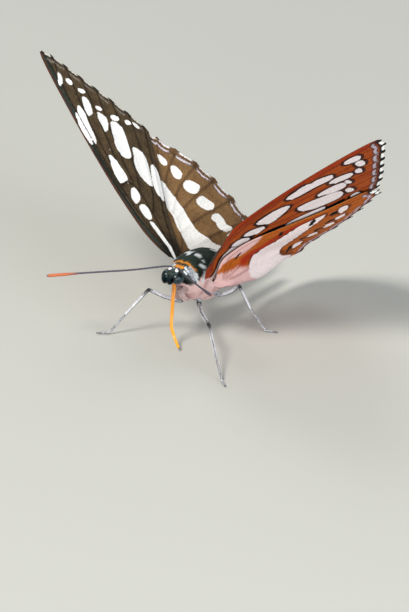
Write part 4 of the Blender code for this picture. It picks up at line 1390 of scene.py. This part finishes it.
    @staticmethod
    def map_tufts(mesh: bpy.types.Mesh) -> None:
        """Give each tuft a small patch at its root's place on the skin's own map.

        Args:
            mesh: realized tufts with the root's map place and the blade's own place.
        """
        places = []
        for name, width in (("skin_map", 2), ("blade", 3)):
            values = np.zeros(len(mesh.vertices) * width, dtype=np.float32)
            mesh.attributes[name].data.foreach_get("vector", values)
            mesh.attributes.remove(mesh.attributes[name])
            places.append(values.reshape(-1, width))
        root, blade = places
        local = np.column_stack([blade[:, 1] + 0.3 * blade[:, 0], blade[:, 2] - 0.5])
        corners = np.zeros(len(mesh.loops), dtype=np.int32)
        mesh.loops.foreach_get("vertex_index", corners)
        layer = mesh.uv_layers.new(name="OFBake")
        spots = (root + local * TUFT_PATCH)[corners]
        layer.data.foreach_set("uv", spots.astype(np.float32).ravel())


# Body


@dataclass(frozen=True)
class BodyMark:
    """A coloured place on the body: all that lies within a radius of a line."""

    field: str
    line: tuple[Place, ...]
    radius: float
    paired: bool = True

    def depth(self, places: np.ndarray) -> np.ndarray:
        """Depth inside the mark, on both sides of the body where it is paired.

        Args:
            places: (ring, point, 3) on the animal.

        Returns:
            One depth for each place, negative outside.
        """
        flat = places.reshape(-1, 3)
        best = np.full(len(flat), -9.0)
        for hand in (1.0, -1.0) if self.paired else (1.0,):
            # the last place twice, so that a single place makes a line too
            line = np.asarray(self.line + self.line[-1:]) * (1.0, hand, 1.0)
            best = np.maximum(best, self.radius - nearest_on_line(flat, line)[0])
        return best.reshape(places.shape[:2])


BODY_MARKS = (
    BodyMark("silver", ((0.45, -0.4, 1.42), (-0.1, -0.3, 1.6), (-0.6, -0.2, 1.65)), 0.2, False),
    BodyMark("silver", ((-0.15, 0.6, 1.5), (-0.2, 1.0, 1.4)), 0.3),
    BodyMark("silver", ((-0.05, 1.71, 1.0),), 0.2),
    BodyMark("silver", ((0.75, 1.84, 0.75), (0.35, 2.12, 0.45)), 0.26),
    BodyMark("silver", ((-3.4, 0.7, 1.1), (-4.0, 0.82, 0.6)), 0.3),
    BodyMark("silver", ((2.5, 0.75, 0.7), (2.55, 1.2, 0.35), (2.4, 1.55, -0.2)), 0.14),
    BodyMark("silver", ((2.15, 1.15, 0.65), (2.3, 1.55, 0.25), (2.33, 1.74, -0.5)), 0.15),
    BodyMark("silver", ((2.1, 1.5, 0.45), (2.12, 1.8, 0.1), (2.2, 1.9, -0.9)), 0.17),
    BodyMark("silver", ((1.85, 1.95, -0.05), (1.8, 2.08, -0.6), (1.7, 2.15, -1.35)), 0.2),
    BodyMark("silver", ((0.5, 2.3, -0.15), (0.72, 2.35, -0.75), (0.95, 2.35, -1.4)), 0.2),
    BodyMark("silver", ((2.95, 0.95, 0.4), (2.8, 1.2, 0.05)), 0.12),
    BodyMark("silver", ((3.55, 0.2, 0.78), (3.3, 0.75, 0.75)), 0.12),
    BodyMark("slate", ((2.28, 0.95, 0.68), (2.42, 1.42, 0.25), (2.4, 1.66, -0.35)), 0.09),
    BodyMark("slate", ((2.1, 1.35, 0.55), (2.2, 1.7, 0.15), (2.28, 1.84, -0.7)), 0.08),
    BodyMark("slate", ((2.62, 1.0, 0.4), (2.62, 1.45, -0.1)), 0.08),
    BodyMark("orange", ((1.95, 0.0, 0.95), (1.76, 0.46, 0.98), (1.88, 0.98, 0.8), (1.92, 1.38, 0.6),
                        (1.74, 1.76, 0.4)), 0.17),
    BodyMark("orange", ((2.78, 0.42, 0.8), (2.86, 0.0, 0.88)), 0.34),
    BodyMark("black", ((1.15, 2.15, 0.15), (1.36, 2.2, -0.31), (1.5, 2.2, -0.8)), 0.14),
    BodyMark("black", ((1.5, 2.2, -0.8),), 0.2),
    BodyMark("black", ((-1.1, 2.5, -1.67), (-1.3, 2.5, -1.85)), 0.2),
    BodyMark("black", ((-2.05, 2.46, -2.45),), 0.15),
    BodyMark("black", ((3.1, 0.75, -0.75), (2.55, 0.98, -1.25)), 0.35),
)


@dataclass
class BodySkin:
    """Head, thorax and abdomen under one skin, with the fur that stands on it."""

    sides: int = 120
    # distance along the body's axis from the thorax's centre, half width, height above the
    # axis, depth below it
    stations: tuple = (
        (6.12, 0.1, -0.2, 0.42), (6.02, 0.42, 0.1, 0.75), (5.7, 0.74, 0.4, 1.02),
        (5.25, 0.88, 0.58, 1.16), (4.85, 0.95, 0.66, 1.18), (4.5, 1.02, 0.76, 1.1),
        (4.15, 1.08, 0.86, 1.12), (3.8, 1.42, 1.0, 1.2), (3.28, 1.85, 1.2, 1.42),
        (2.6, 2.15, 1.7, 2.15), (1.9, 2.32, 2.05, 2.95), (1.2, 2.42, 2.3, 3.55),
        (0.0, 2.5, 2.5, 3.95), (-1.5, 2.5, 2.62, 4.12), (-2.9, 2.32, 2.4, 4.1),
        (-3.9, 1.9, 1.95, 3.3), (-4.6, 1.4, 1.45, 2.3), (-5.0, 1.12, 1.05, 1.4),
        (-5.5, 1.08, 1.0, 1.1), (-6.5, 1.16, 1.08, 1.14), (-8.5, 1.26, 1.18, 1.22),
        (-10.5, 1.2, 1.14, 1.16), (-12.5, 1.05, 1.02, 1.02), (-14.3, 0.86, 0.84, 0.84),
        (-15.8, 0.64, 0.62, 0.62), (-16.9, 0.42, 0.42, 0.42), (-17.3, 0.16, 0.16, 0.16),
    )
    segments: int = 8              # of the abdomen
    abdomen: Spot = (-5.0, -17.3)
    pinch: Spot = (0.055, 0.16)    # depth and width of the waist between two segments
    neck: float = 4.0              # where the head begins

    def axis(self) -> tuple[np.ndarray, np.ndarray]:
        """Forward and upward directions of the pitched body, as (forward, left, up)."""
        pitch = math.radians(BODY_PITCH)
        ahead = np.asarray((math.cos(pitch), 0.0, math.sin(pitch)))
        return ahead, np.asarray((-math.sin(pitch), 0.0, math.cos(pitch)))

    def ring_points(self) -> tuple[np.ndarray, np.ndarray]:
        """The skin's rings as places on the animal.

        Returns:
            Places of (ring, point, 3), and each ring's distance along the axis.
        """
        ahead, upward = self.axis()
        rows = smooth_line(self.stations, 0.1)
        angles = (np.arange(self.sides) + 0.5) / self.sides * 2.0 * math.pi - 0.5 * math.pi
        sine, cosine = np.sin(angles), np.cos(angles)
        round_x = np.sign(cosine) * np.abs(cosine) ** 0.92
        round_y = np.sign(sine) * np.abs(sine) ** 0.96
        start, stop = self.abdomen
        share = np.clip((start - rows[:, 0]) / (start - stop), 0.0, 1.0)
        step = (share * self.segments) % 1.0
        depth, length = self.pinch
        pinch = 1.0 - depth * np.maximum(0.0, 1.0 - step / length) * (share > 0.02)
        rings = []
        for (a, width, above, below), tight in zip(rows, pinch):
            height = np.where(round_y > 0, above, below)
            ring = (np.asarray(THORAX_CENTRE) + ahead * a
                    + np.outer(round_x * width * tight, (0.0, 1.0, 0.0))
                    + np.outer(round_y * height * tight, upward))
            rings.append(ring)
        return np.asarray(rings), rows[:, 0]

    def fields(self, places: np.ndarray, along: np.ndarray) -> dict[str, np.ndarray]:
        """Markings, painted shade in the creases under the chest, fur length and lie of the coat at
        places on the skin.

        Args:
            places: (ring, point, 3) on the animal.
            along: each ring's distance along the axis.

        Returns:
            Fields by name.
        """
        ahead, upward = self.axis()
        offset = places - np.asarray(THORAX_CENTRE)
        height = offset @ upward
        a = np.repeat(along[:, None], places.shape[1], axis=1)
        out = {name: np.full(a.shape, -1.0) for name in ("silver", "slate", "orange", "black")}
        for mark in BODY_MARKS:
            out[mark.field] = np.maximum(out[mark.field], mark.depth(places))
        lateral = np.abs(offset[..., 1])
        thorax = fade(a, -5.2, -4.4) * (1.0 - fade(a, 3.6, 4.2))
        belly = 0.4 - height - 1.8 * fade(a, 1.7, 3.3)
        out["pink"] = np.where(a > self.neck, -1.0, belly)
        # painted shade: waves of darker pink where the fur under the chest creases
        crease_shade_waves = 0.55 * np.sin(2.4 * a + 0.8 * height) + 0.25 * np.sin(5.3 * a - 1.1 * height)
        crease_shade_place = (belly > 0.5) & (a > self.abdomen[0]) & (a < self.neck)
        out["crease"] = np.where(crease_shade_place, crease_shade_waves - 0.35, -1.0)
        start, stop = self.abdomen
        share = np.clip((start - a) / (start - stop), 0.0, 1.0)
        band = np.abs((share * self.segments) % 1.0 - 0.12) < 0.1
        out["band"] = np.where((a < -5.1) & band & (height > 0.0), 0.3, -1.0)
        head = fade(a, 3.9, 4.3)
        reach = 0.55 + 0.45 * thorax + 0.35 * thorax * fade(-height, 0.4, 1.6)
        out["reach"] = reach * (1.0 - 0.2 * head) * (0.55 + 0.45 * fade(a, -17.3, -15.0))
        one_side = np.stack([places[..., 0], lateral, places[..., 2]], axis=2)
        eyes = np.linalg.norm((one_side - EYE_CENTRE) / EYE_HALF, axis=2)
        out["cover"] = np.where((eyes < 0.97) & (a > 3.9), 0.0, 1.0)
        lie = np.repeat(to_row_way(-ahead), a.size, axis=0).reshape(*a.shape, 3)
        drop = np.zeros(lie.shape)
        drop[..., 2] = -0.7 * thorax * fade(lateral, 0.8, 1.8)
        out["lie"] = unit(lie + drop)
        return out

    def build(self) -> None:
        """Make the skin and its coats."""
        places, along = self.ring_points()
        fields = self.fields(places, along)
        shape = rings_to_shape(to_row(places), fields)
        outward(shape, to_row(THORAX_CENTRE)[0], len(shape.faces) // 3)
        finish = BODY_SCALES.build()
        skin = make_object("body_skin", shape, [finish])
        tree = ScatterTree(seed=7)
        for name, tuft, low, high in BODY_COATS:
            cover = fields["cover"] * ((along > low) & (along <= high))[:, None]
            stored = skin.data.attributes["cover"].data
            values = np.concatenate([cover.ravel(), cover[0, :1], cover[-1, :1]])
            stored.foreach_set("value", values.astype(np.float32))
            settle(tree.grow(name, skin, tuft, finish), "body_fur")
        settle(skin, "body_fur", "thorax", "abdomen", "head")


EYE_CENTRE = (4.08, 0.74, -0.14)
EYE_HALF = (1.0, 0.82, 0.82)

BODY_SCALES = ScaleFinish(
    # Dark green-black scales with a silky shine, silver and orange tufts, pinkish below
    "body_scales", dark="#0E1B1A", light="#3A4A40", cell=0.12, patch=0.6, mottle=0.9,
    plan=False, shine=0.35, roughness=0.45,
    coats=(
        Coat("band", "#9A948A", 0.2, 0.2, 0.7),
        Coat("pink", "#EFCFCB", 0.25, 0.25),
        # painted shade: darker pink in the creases of the fur under the chest
        Coat("crease", "#C98F8C", 0.25, 0.1, 0.6),
        Coat("orange", "#E0901C", 0.05, 0.05),
        Coat("silver", "#EEF3F8", 0.05, 0.05),
        Coat("slate", "#3C4A62", 0.05, 0.04, 0.85),
        Coat("black", "#07090A", 0.05, 0.03),
    ))
BODY_COATS = (
    ("fur_head", Tuft(0.26, 0.05, 0.025, 24.0, 0.15, 230.0), 3.9, 7.0),
    ("fur_collar", Tuft(0.36, 0.055, 0.028, 17.0, 0.2, 230.0), 1.8, 3.9),
    ("fur_shoulders", Tuft(0.42, 0.065, 0.03, 17.0, 0.22, 170.0), -0.9, 1.8),
    ("fur_thorax", Tuft(0.45, 0.065, 0.03, 18.0, 0.22, 150.0), -5.1, -0.9),
    ("fur_abdomen", Tuft(0.42, 0.1, 0.03, 10.0, 0.1, 60.0), -18.0, -5.1),
)


@dataclass
class Eyes:
    """The two compound eyes."""

    rings: int = 40
    sides: int = 56

    def build(self) -> None:
        """Make each eye as a smooth ball sunk in the head."""
        finish = EyeFinish().build()
        for side in Side:
            centre = np.asarray(EYE_CENTRE) * (1.0, side.value, 1.0)
            shape = ball_shape(centre, EYE_HALF, self.rings, self.sides)
            settle(make_object(f"compound_eye_{side.word}", shape, [finish]), "eye",
                   f"eye_{side.word}")


# Limbs and feelers


class Pair(Enum):
    """The two pairs of walking legs."""

    MID = "mid"
    HIND = "hind"


@dataclass(frozen=True)
class Leg:
    """One walking leg: hip direction from the thorax, joints and the foot's tip."""

    pair: Pair
    side: Side
    hip: Place
    joints: tuple[Place, ...]
    foot: Spot
    dark_side: Place = (0.0, 0.0, -1.0)
    dark_edge: float = 0.45    # nearer one is a narrower dark line


WALKING_LEGS = (
    Leg(Pair.MID, Side.LEFT, (0.2, 0.2, -0.96),
        ((0.7, 1.8, -5.05), (2.6, 3.4, -4.9), (5.0, 6.4, -5.0), (8.2, 9.7, -7.2)), (11.1, 13.2),
        (0.74, 0.53, 0.41), 0.92),
    Leg(Pair.MID, Side.RIGHT, (0.2, -0.2, -0.96),
        ((0.9, -1.1, -5.05), (2.3, -2.6, -4.3), (3.5, -4.3, -3.3), (5.5, -6.6, -6.7)),
        (7.7, -9.4)),
    Leg(Pair.HIND, Side.LEFT, (-0.33, 0.31, -0.89),
        ((-3.0, 2.35, -4.75), (-3.9, 3.4, -4.3), (-4.5, 4.4, -3.4), (-5.0, 5.8, -6.5)),
        (-6.0, 9.2)),
    Leg(Pair.HIND, Side.RIGHT, (-0.33, -0.31, -0.89),
        ((-3.3, -2.35, -5.4), (-5.0, -3.0, -4.7), (-6.8, -3.6, -4.7), (-10.6, -5.3, -7.6)),
        (-14.2, -6.6)),
)
LEG_SCALES = ScaleFinish(
    # Silvery white scales, with a dark line along the leg's under side and dark knees
    "leg_scales", dark="#A9ACB6", light="#F4F4F6", cell=0.1, patch=0.9, mottle=0.4,
    plan=False, shine=0.3, roughness=0.45,
    coats=(Coat("darkness", "#101418", 0.15, 0.1),))
FORELEG_HAIR = ScaleFinish(
    # Long pinkish white hair that hides the small fore legs against the chest
    "foreleg_hair", dark="#C9A09E", light="#F4E2DE", cell=0.12, patch=0.5, mottle=0.5,
    plan=False, shine=0.3, roughness=0.5)


@dataclass
class Legs:
    """Six legs: four to stand on and the two small brush-like fore legs."""

    toe_length: float = 1.5
    toe_rise: float = 0.23
    hip_depth: float = 3.2         # how far from the thorax's centre the limb begins
    sides: int = 14
    widths: Numbers = (0.34, 0.34, 0.28, 0.26, 0.21, 0.16, 0.15, 0.145, 0.14, 0.1)
    # joints of a walking leg by number, as its widths are counted
    trunk: float = 1.5
    bare: float = 2.3              # the dark line begins here
    knee: float = 4.0
    ankle: float = 5.0
    segments: float = 2.6          # foot segments between two numbers
    scales: Tuft = Tuft(0.22, 0.06, 0.015, 7.0, 0.05, 120.0)
    brush: Tuft = Tuft(0.36, 0.06, 0.02, 24.0, 0.12, 120.0)
    spine_pairs: int = 9
    spine_stretch: Spot = (0.5, 0.92)
    spine_steps: Numbers = (0.05, 0.2, 0.36, 0.46)
    spine_radii: Numbers = (0.03, 0.026, 0.016, 0.004)
    claw: tuple[Place, ...] = ((-0.05, 0.05, 0.0), (0.1, 0.1, 0.02), (0.2, 0.12, -0.02),
                               (0.24, 0.12, -0.1))
    claw_radii: Numbers = (0.04, 0.035, 0.02, 0.005)
    fore_places: tuple = ((1.3, 0.5, -2.5), (2.75, 0.55, -2.45), (3.0, 0.58, -2.85),
                          (2.3, 0.55, -3.7), (1.5, 0.52, -4.15))
    fore_widths: Numbers = (0.34, 0.32, 0.3, 0.26, 0.12)

    def walking(self, leg: Leg) -> Shape:
        """One walking leg with its joints and foot segments.

        Args:
            leg: the leg's places.

        Returns:
            The leg as one closed shape.
        """
        hip = np.asarray(THORAX_CENTRE) + unit(np.asarray(leg.hip)) * self.hip_depth
        joints = [np.asarray(p) for p in leg.joints]
        tip = np.asarray((*leg.foot, self.toe_rise - BASE_HEIGHT))
        level = (tip - joints[-1]) * (1.0, 1.0, 0.0)
        heel = tip - level / np.linalg.norm(level) * self.toe_length
        places = [hip, hip + (joints[0] - hip) * 0.6]
        places += joints + [joints[-1] + (heel - joints[-1]) * f for f in (0.4, 0.85)]
        rows = smooth_bent(places + [heel, tip], self.widths, 0.12)
        route, radii, along = to_row(rows[:, :3]), rows[:, 3], rows[:, 4]
        toes = np.maximum(0.0, along - self.ankle) * self.segments
        swell = 1.0 + 0.22 * (np.abs((toes % 1.0) - 0.5) * 2 - 0.5)
        shape = sweep(route, radii * np.where(along > self.ankle, swell, 1.0), self.sides)
        share = shape.fields["along"] * (len(route) - 1)
        nearest = np.clip(np.round(share).astype(int), 0, len(route) - 1)
        part = along[nearest]
        way = unit(np.gradient(route, axis=0))[nearest]
        toward = np.repeat(to_row_way(leg.dark_side), len(nearest), axis=0)
        toward = unit(toward - way * (toward * way).sum(axis=1, keepdims=True))
        under = (unit(shape.points - route[nearest] + TINY) * toward).sum(axis=1)
        knee = 0.2 - np.abs(part - self.knee)
        if leg.pair is Pair.MID:
            knee = np.maximum(knee, 0.22 - np.abs(part - self.trunk))
        line = (under - leg.dark_edge) * (part > self.bare) * (part < self.ankle)
        shape.fields["darkness"] = np.maximum(line, knee)
        shape.fields["reach"] = 0.6 + 0.4 * (part < self.knee)
        shape.fields["cover"] = np.where(part > 1.0, 1.0, 0.3)
        return shape

    def spines(self, route: np.ndarray) -> Shape:
        """Short spines in pairs along the lower half of a leg.

        Args:
            route: the leg's centre line.

        Returns:
            All the spines as one shape.
        """
        made = []
        way = unit(np.gradient(route, axis=0))
        start, stop = self.spine_stretch
        for k in range(self.spine_pairs):
            i = int((start + (stop - start) * k / (self.spine_pairs - 1)) * (len(route) - 1))
            across = unit(np.cross(way[i], (0.0, 0.0, 1.0)))
            below = np.cross(way[i], across)
            for hand in (-1.0, 1.0):
                out = unit(across * hand * 0.8 + below * -0.25 + way[i] * 0.9)
                spine = np.asarray([route[i] + out * f for f in self.spine_steps])
                made.append(sweep(spine, self.spine_radii, 5).hold(darkness=-0.5))
        return reduce(Shape.joined, made)

    def claws(self, route: np.ndarray) -> Shape:
        """The pair of hooked claws at a foot's tip."""
        ahead = unit(route[-1] - route[-3])
        across = unit(np.cross(ahead, (0.0, 0.0, 1.0)))
        made = []
        for hand in (-1.0, 1.0):
            rows = [route[-1] + ahead * forward + across * hand * aside + (0.0, 0.0, rise)
                    for forward, aside, rise in self.claw]
            made.append(sweep(np.asarray(rows), self.claw_radii, 6).hold(darkness=1.0))
        return reduce(Shape.joined, made)

    def build(self) -> None:
        """Make the legs, their spines and the flat scales that clothe them."""
        finish = LEG_SCALES.build()
        hair = FORELEG_HAIR.build()
        tree = ScatterTree(seed=31)
        for leg in WALKING_LEGS:
            node = f"{leg.pair.value}leg_{leg.side.word}"
            shape = self.walking(leg)
            limb = tree.clothe((f"{node}_limb", f"{node}_scales"), shape, self.scales, finish)
            route = shape.points[:-2].reshape(-1, self.sides, 3).mean(axis=1)
            extra = self.spines(route).joined(self.claws(route))
            settle(make_object(f"{node}_spines", extra, [finish]), "pale_scale")
            settle(limb, "pale_scale", node)
        for side in Side:
            node = f"foreleg_{side.word}"
            places = [np.asarray(p) * (1.0, side.value, 1.0) for p in self.fore_places]
            rows = smooth_bent(places, self.fore_widths, 0.12)
            shape = sweep(to_row(rows[:, :3]), rows[:, 3], 12).hold(reach=1.2, cover=1.0)
            limb = tree.clothe((f"{node}_limb", f"{node}_brush"), shape, self.brush, hair)
            settle(limb, "pale_scale", node)


@dataclass
class Antennae:
    """The two clubbed antennae, ringed along the shaft."""

    shaft: float = 0.125
    club: float = 0.21
    scape: float = 0.26            # radius of the white scaly ball at the root
    scape_place: Place = (3.94, 0.5, 0.68)
    rings: int = 46
    waist: float = 0.1             # how much thinner a ring is than its joint
    swell: Spot = (0.72, 0.88)     # shares along between which the club swells
    orange: float = 0.79           # share along where the club's orange begins
    routes: dict = field(default_factory=lambda: {
        Side.LEFT: ((3.6, 0.45, 0.45), (3.62, 0.58, 0.92), (3.95, 1.3, 0.86), (4.65, 2.2, 0.86),
                    (7.0, 4.8, 1.8), (10.2, 8.7, 2.85), (13.45, 12.7, 3.95)),
        Side.RIGHT: ((3.6, -0.45, 0.45), (3.62, -0.58, 0.92), (3.95, -1.3, 0.92),
                     (4.65, -2.2, 0.82), (6.6, -4.8, 0.45), (9.7, -9.2, 0.06),
                     (12.9, -13.7, -0.4)),
    })

    def build(self) -> None:
        """Make both antennae."""
        finish = ANTENNA_CUTICLE.build()
        for side in Side:
            route = to_row(smooth_line(self.routes[side], 0.09))
            share = np.linspace(0.0, 1.0, len(route))
            radii = self.shaft + (self.club - self.shaft) * fade(share, *self.swell)
            joints = np.cos(share * self.rings * 2 * math.pi)
            radii = radii * (1.0 - self.waist * (0.5 + 0.5 * joints))
            radii = radii * np.sqrt(np.clip((1.0 - share) / 0.02, 0.05, 1.0))
            radii[:6] *= np.linspace(1.6, 1.0, 6)
            shape = sweep(route, radii, 16)
            rings = np.cos(shape.fields["along"] * self.rings * 2 * math.pi)
            shape.fields["pale"] = np.where(shape.fields["along"] < 0.7, rings - 0.75, -1.0)
            face = 0.3 + 0.4 * shape.fields["skyward"]
            if side is Side.LEFT:
                face = -0.25 - shape.fields["skyward"]
            shape.fields["club"] = np.minimum(shape.fields["along"] - self.orange, face)
            shape.fields["tip"] = shape.fields["along"] - 0.985
            centre = np.asarray(self.scape_place) * (1.0, side.value, 1.0)
            ball = ball_shape(centre, (self.scape,) * 3, 14, 20).hold(white=1.0)
            whole = shape.hold(white=-1.0).joined(ball)
            settle(make_object(f"feeler_{side.word}", whole, [finish]), "antenna",
                   f"antenna_{side.word}")


ANTENNA_CUTICLE = CuticleFinish(
    # Dull dark cuticle with narrow pale rings, turning to orange at the club
    "antenna_cuticle", root="#1C2430", tip="#3E3248", roughness=0.5, gloss=0.05,
    coats=(Coat("pale", "#7E8690", 0.2, 0.1, 0.45), Coat("club", "#B0561F", 0.06, 0.03),
           Coat("tip", "#5E4650", 0.01, 0.0, 0.8), Coat("white", "#F2EEF2", 0.3, 0.2)))


@dataclass
class Mouthparts:
    """The lowered proboscis and the two scaled palps in front of the face."""

    half_width: float = 0.16
    apart: float = 0.72            # each tube's centre from the middle, as a share of its radius
    ripple: float = 0.05
    palp_radii: Place = (0.17, 0.07, 0.1)      # at the root, more in the middle, less at the tip
    scales: Tuft = Tuft(0.3, 0.06, 0.02, 22.0, 0.1, 190.0)
    route: tuple = ((4.1, 0.0, -0.9), (3.85, 0.0, -1.4), (3.85, 0.0, -2.2), (4.1, 0.0, -3.4),
                    (4.3, 0.0, -5.5), (4.7, 0.2, -6.9), (5.15, 1.0, -8.1), (5.9, 2.2, -8.95))
    palp_route: tuple = ((4.7, 0.34, -0.4), (5.15, 0.38, -0.5), (5.45, 0.38, -0.25),
                         (5.6, 0.4, 0.05), (5.52, 0.36, 0.5))

    def build(self) -> None:
        """Make the proboscis of two joined tubes, then the palps."""
        finish = PROBOSCIS_CUTICLE.build()
        line = to_row(smooth_line(self.route, 0.06))
        way = unit(np.gradient(line, axis=0))
        share = np.linspace(0.0, 1.0, len(line))
        taper = 1.0 - 0.2 * share
        across = unit(np.cross(way, (0.0, -1.0, 0.0)))
        ribs = 1.0 + self.ripple * np.cos(np.arange(len(line)) * 2.0 * math.pi / 3.0)
        tubes = [sweep(line + across * (side.value * self.half_width * self.apart * taper)[:, None],
                       self.half_width * taper * ribs, 14) for side in Side]
        whole = reduce(Shape.joined, tubes)
        settle(make_object("proboscis_tube", whole, [finish]), "proboscis", "proboscis")
        slate = PALP_SCALES.build()
        tree = ScatterTree(seed=53)
        root, middle, tip = self.palp_radii
        for side in Side:
            node = f"palp_{side.word}"
            rows = smooth_line([np.asarray(p) * (1.0, side.value, 1.0) for p in self.palp_route], 0.08)
            share = np.linspace(0.0, 1.0, len(rows))
            radii = root + middle * np.sin(math.pi * share) - tip * share
            shape = sweep(to_row(rows), radii, 16).hold(reach=1.0, cover=1.0)
            palp = tree.clothe((f"{node}_core", f"{node}_scales"), shape, self.scales, slate)
            settle(palp, "pale_scale", node)


PROBOSCIS_CUTICLE = CuticleFinish(
    # Clear amber cuticle: two tubes zipped together, glossy and ribbed
    "proboscis_cuticle", root="#C9780F", tip="#F0A615", roughness=0.28, gloss=0.5, bump=0.006)
PALP_SCALES = ScaleFinish(
    # Dark slate scales, close and flat
    "palp_scales", dark="#0A1418", light="#22323A", cell=0.1, patch=0.4, mottle=0.6,
    plan=False, roughness=0.5)


@dataclass
class Wings:
    """The four wings."""

    def build(self) -> None:
        """Make each pair on its shared plan."""
        fore_plan = WingPlan(FORE_WING, FORE_UPPER_WHITE_AND_PAINTED_GLINTS, FORE_UNDER_PALE, FORE_UNDER_BLACK)
        hind_plan = WingPlan(HIND_WING, HIND_UPPER_WHITE, HIND_UNDER_PALE, HIND_UNDER_BLACK,
                             HIND_UNDER_RED, HIND_UNDER_PINK)
        fore_finishes = [FORE_UPPER.build(), FORE_UNDER.build()]
        hind_finishes = [HIND_UPPER.build(), HIND_UNDER.build()]
        dorsum = smooth_line(FORE_WING.dorsum, 0.5)
        for side in Side:
            turns, bend = FORE_POSE[side]
            fore = WingSurface(FORE_WING.base, turns, side, bend)
            hind = WingSurface(HIND_WING.base, HIND_TURNS, side)
            for name, shape, finishes in (
                    ("forewing", fore_plan.build(fore, FORE_FOLD[side], None, dorsum),
                     fore_finishes),
                    ("hindwing", hind_plan.build(hind, HIND_FOLD[side], fore, dorsum),
                     hind_finishes)):
                node = f"{name}_{side.word}"
                settle(make_object(f"{node}_scales", shape, finishes), "wing_scale", node)


# Stage


@dataclass
class Stage:
    """Floor, light and camera."""

    azimuth: float = 35.6
    elevation: float = 24.4
    distance: float = 0.6
    scale: float = 7.745           # photo pixels for each millimetre at the wing bases
    aim_right: float = 1.69        # frame's centre from the wing bases, in millimetres
    aim_up: float = -5.29
    sensor: float = 36.0
    floor_half: float = 1.2
    target: Place = (0.0, 0.0, 0.012)
    # name, place and width in metres, watts, colour
    panels: tuple = (
        ("key_panel", (-0.05, -0.4, 0.6), 0.2, 4.5, "#FFF8F0"),
        ("fill_panel", (0.55, -0.15, 0.2), 0.35, 2.2, "#F4F8FF"),
        ("low_panel", (0.3, -0.45, 0.07), 0.2, 1.3, "#FFFFFF"),
        ("back_panel", (-0.35, 0.35, 0.45), 0.3, 1.2, "#FFFFFF"),
    )

    def axes(self) -> tuple[np.ndarray, np.ndarray, np.ndarray]:
        """Rightward, upward and backward directions of the camera."""
        turn, tilt = math.radians(self.azimuth), math.radians(self.elevation)
        right = np.asarray((math.cos(turn), math.sin(turn), 0.0))
        back = np.asarray((math.sin(turn) * math.cos(tilt), -math.cos(turn) * math.cos(tilt),
                           math.sin(tilt)))
        return right, np.cross(back, right), back

    def camera(self) -> None:
        """Set the camera at the photo's viewing angle and framing."""
        right, up, back = self.axes()
        middle = to_row((0.0, 0.0, 0.0))[0] * MM
        aim = middle + right * self.aim_right * MM + up * self.aim_up * MM
        data = bpy.data.cameras.new("view")
        data.sensor_fit = "VERTICAL"
        data.sensor_height = self.sensor
        data.lens = self.sensor * self.distance / (PHOTO_HEIGHT / self.scale * MM)
        data.clip_start = 0.01
        view = link("view", data)
        turn = Matrix((right, up, back)).transposed().to_4x4()
        view.matrix_world = Matrix.Translation(Vector(aim + back * self.distance)) @ turn
        bpy.context.scene.camera = view

    def lamp(self, name: str, place: Place, size: float, power: float, colour: str) -> None:
        """Hang one soft panel light that faces the butterfly.

        Args:
            name: the light's name.
            place: where it hangs, in metres.
            size: the panel's width in metres.
            power: its power in watts.
            colour: its colour.
        """
        data = bpy.data.lights.new(name, "AREA")
        data.size = size
        data.energy = power
        data.color = to_linear(colour)[:3]
        made = link(name, data)
        made.location = place
        facing = Vector(self.target) - Vector(place)
        made.rotation_euler = facing.to_track_quat("-Z", "Y").to_euler()

    def build(self) -> None:
        """Lay the floor, hang the lights and set the camera."""
        mesh = bpy.data.meshes.new("floor")
        corners = ((-1, -1), (1, -1), (1, 1), (-1, 1))
        mesh.from_pydata([(x * self.floor_half, y * self.floor_half, 0.0) for x, y in corners],
                         [], [(0, 1, 2, 3)])
        paint = bpy.data.materials.new("floor_paint")
        paint.use_nodes = True
        shader = paint.node_tree.nodes["Principled BSDF"]
        shader.inputs["Base Color"].default_value = to_linear("#B4B6B0")
        shader.inputs["Roughness"].default_value = 0.9
        mesh.materials.append(paint)
        floor = link("floor", mesh)
        for panel in self.panels:
            self.lamp(*panel)
        world = bpy.data.worlds.new("studio")
        world.use_nodes = True
        background = world.node_tree.nodes["Background"]
        background.inputs["Color"].default_value = to_linear("#E6EAEE")
        background.inputs["Strength"].default_value = 0.4
        bpy.context.scene.world = world
        bpy.context.scene.view_settings.view_transform = "Standard"
        self.camera()


def main() -> None:
    """Build every part of the butterfly and its stage."""
    logging.basicConfig(level=logging.INFO, format="%(name)s %(message)s")
    Stage().build()
    for part in (Wings(), BodySkin(), Eyes(), Legs(), Antennae(), Mouthparts()):
        part.build()
        LOG.info("%s done", type(part).__name__)


if __name__ == "__main__":
    main()
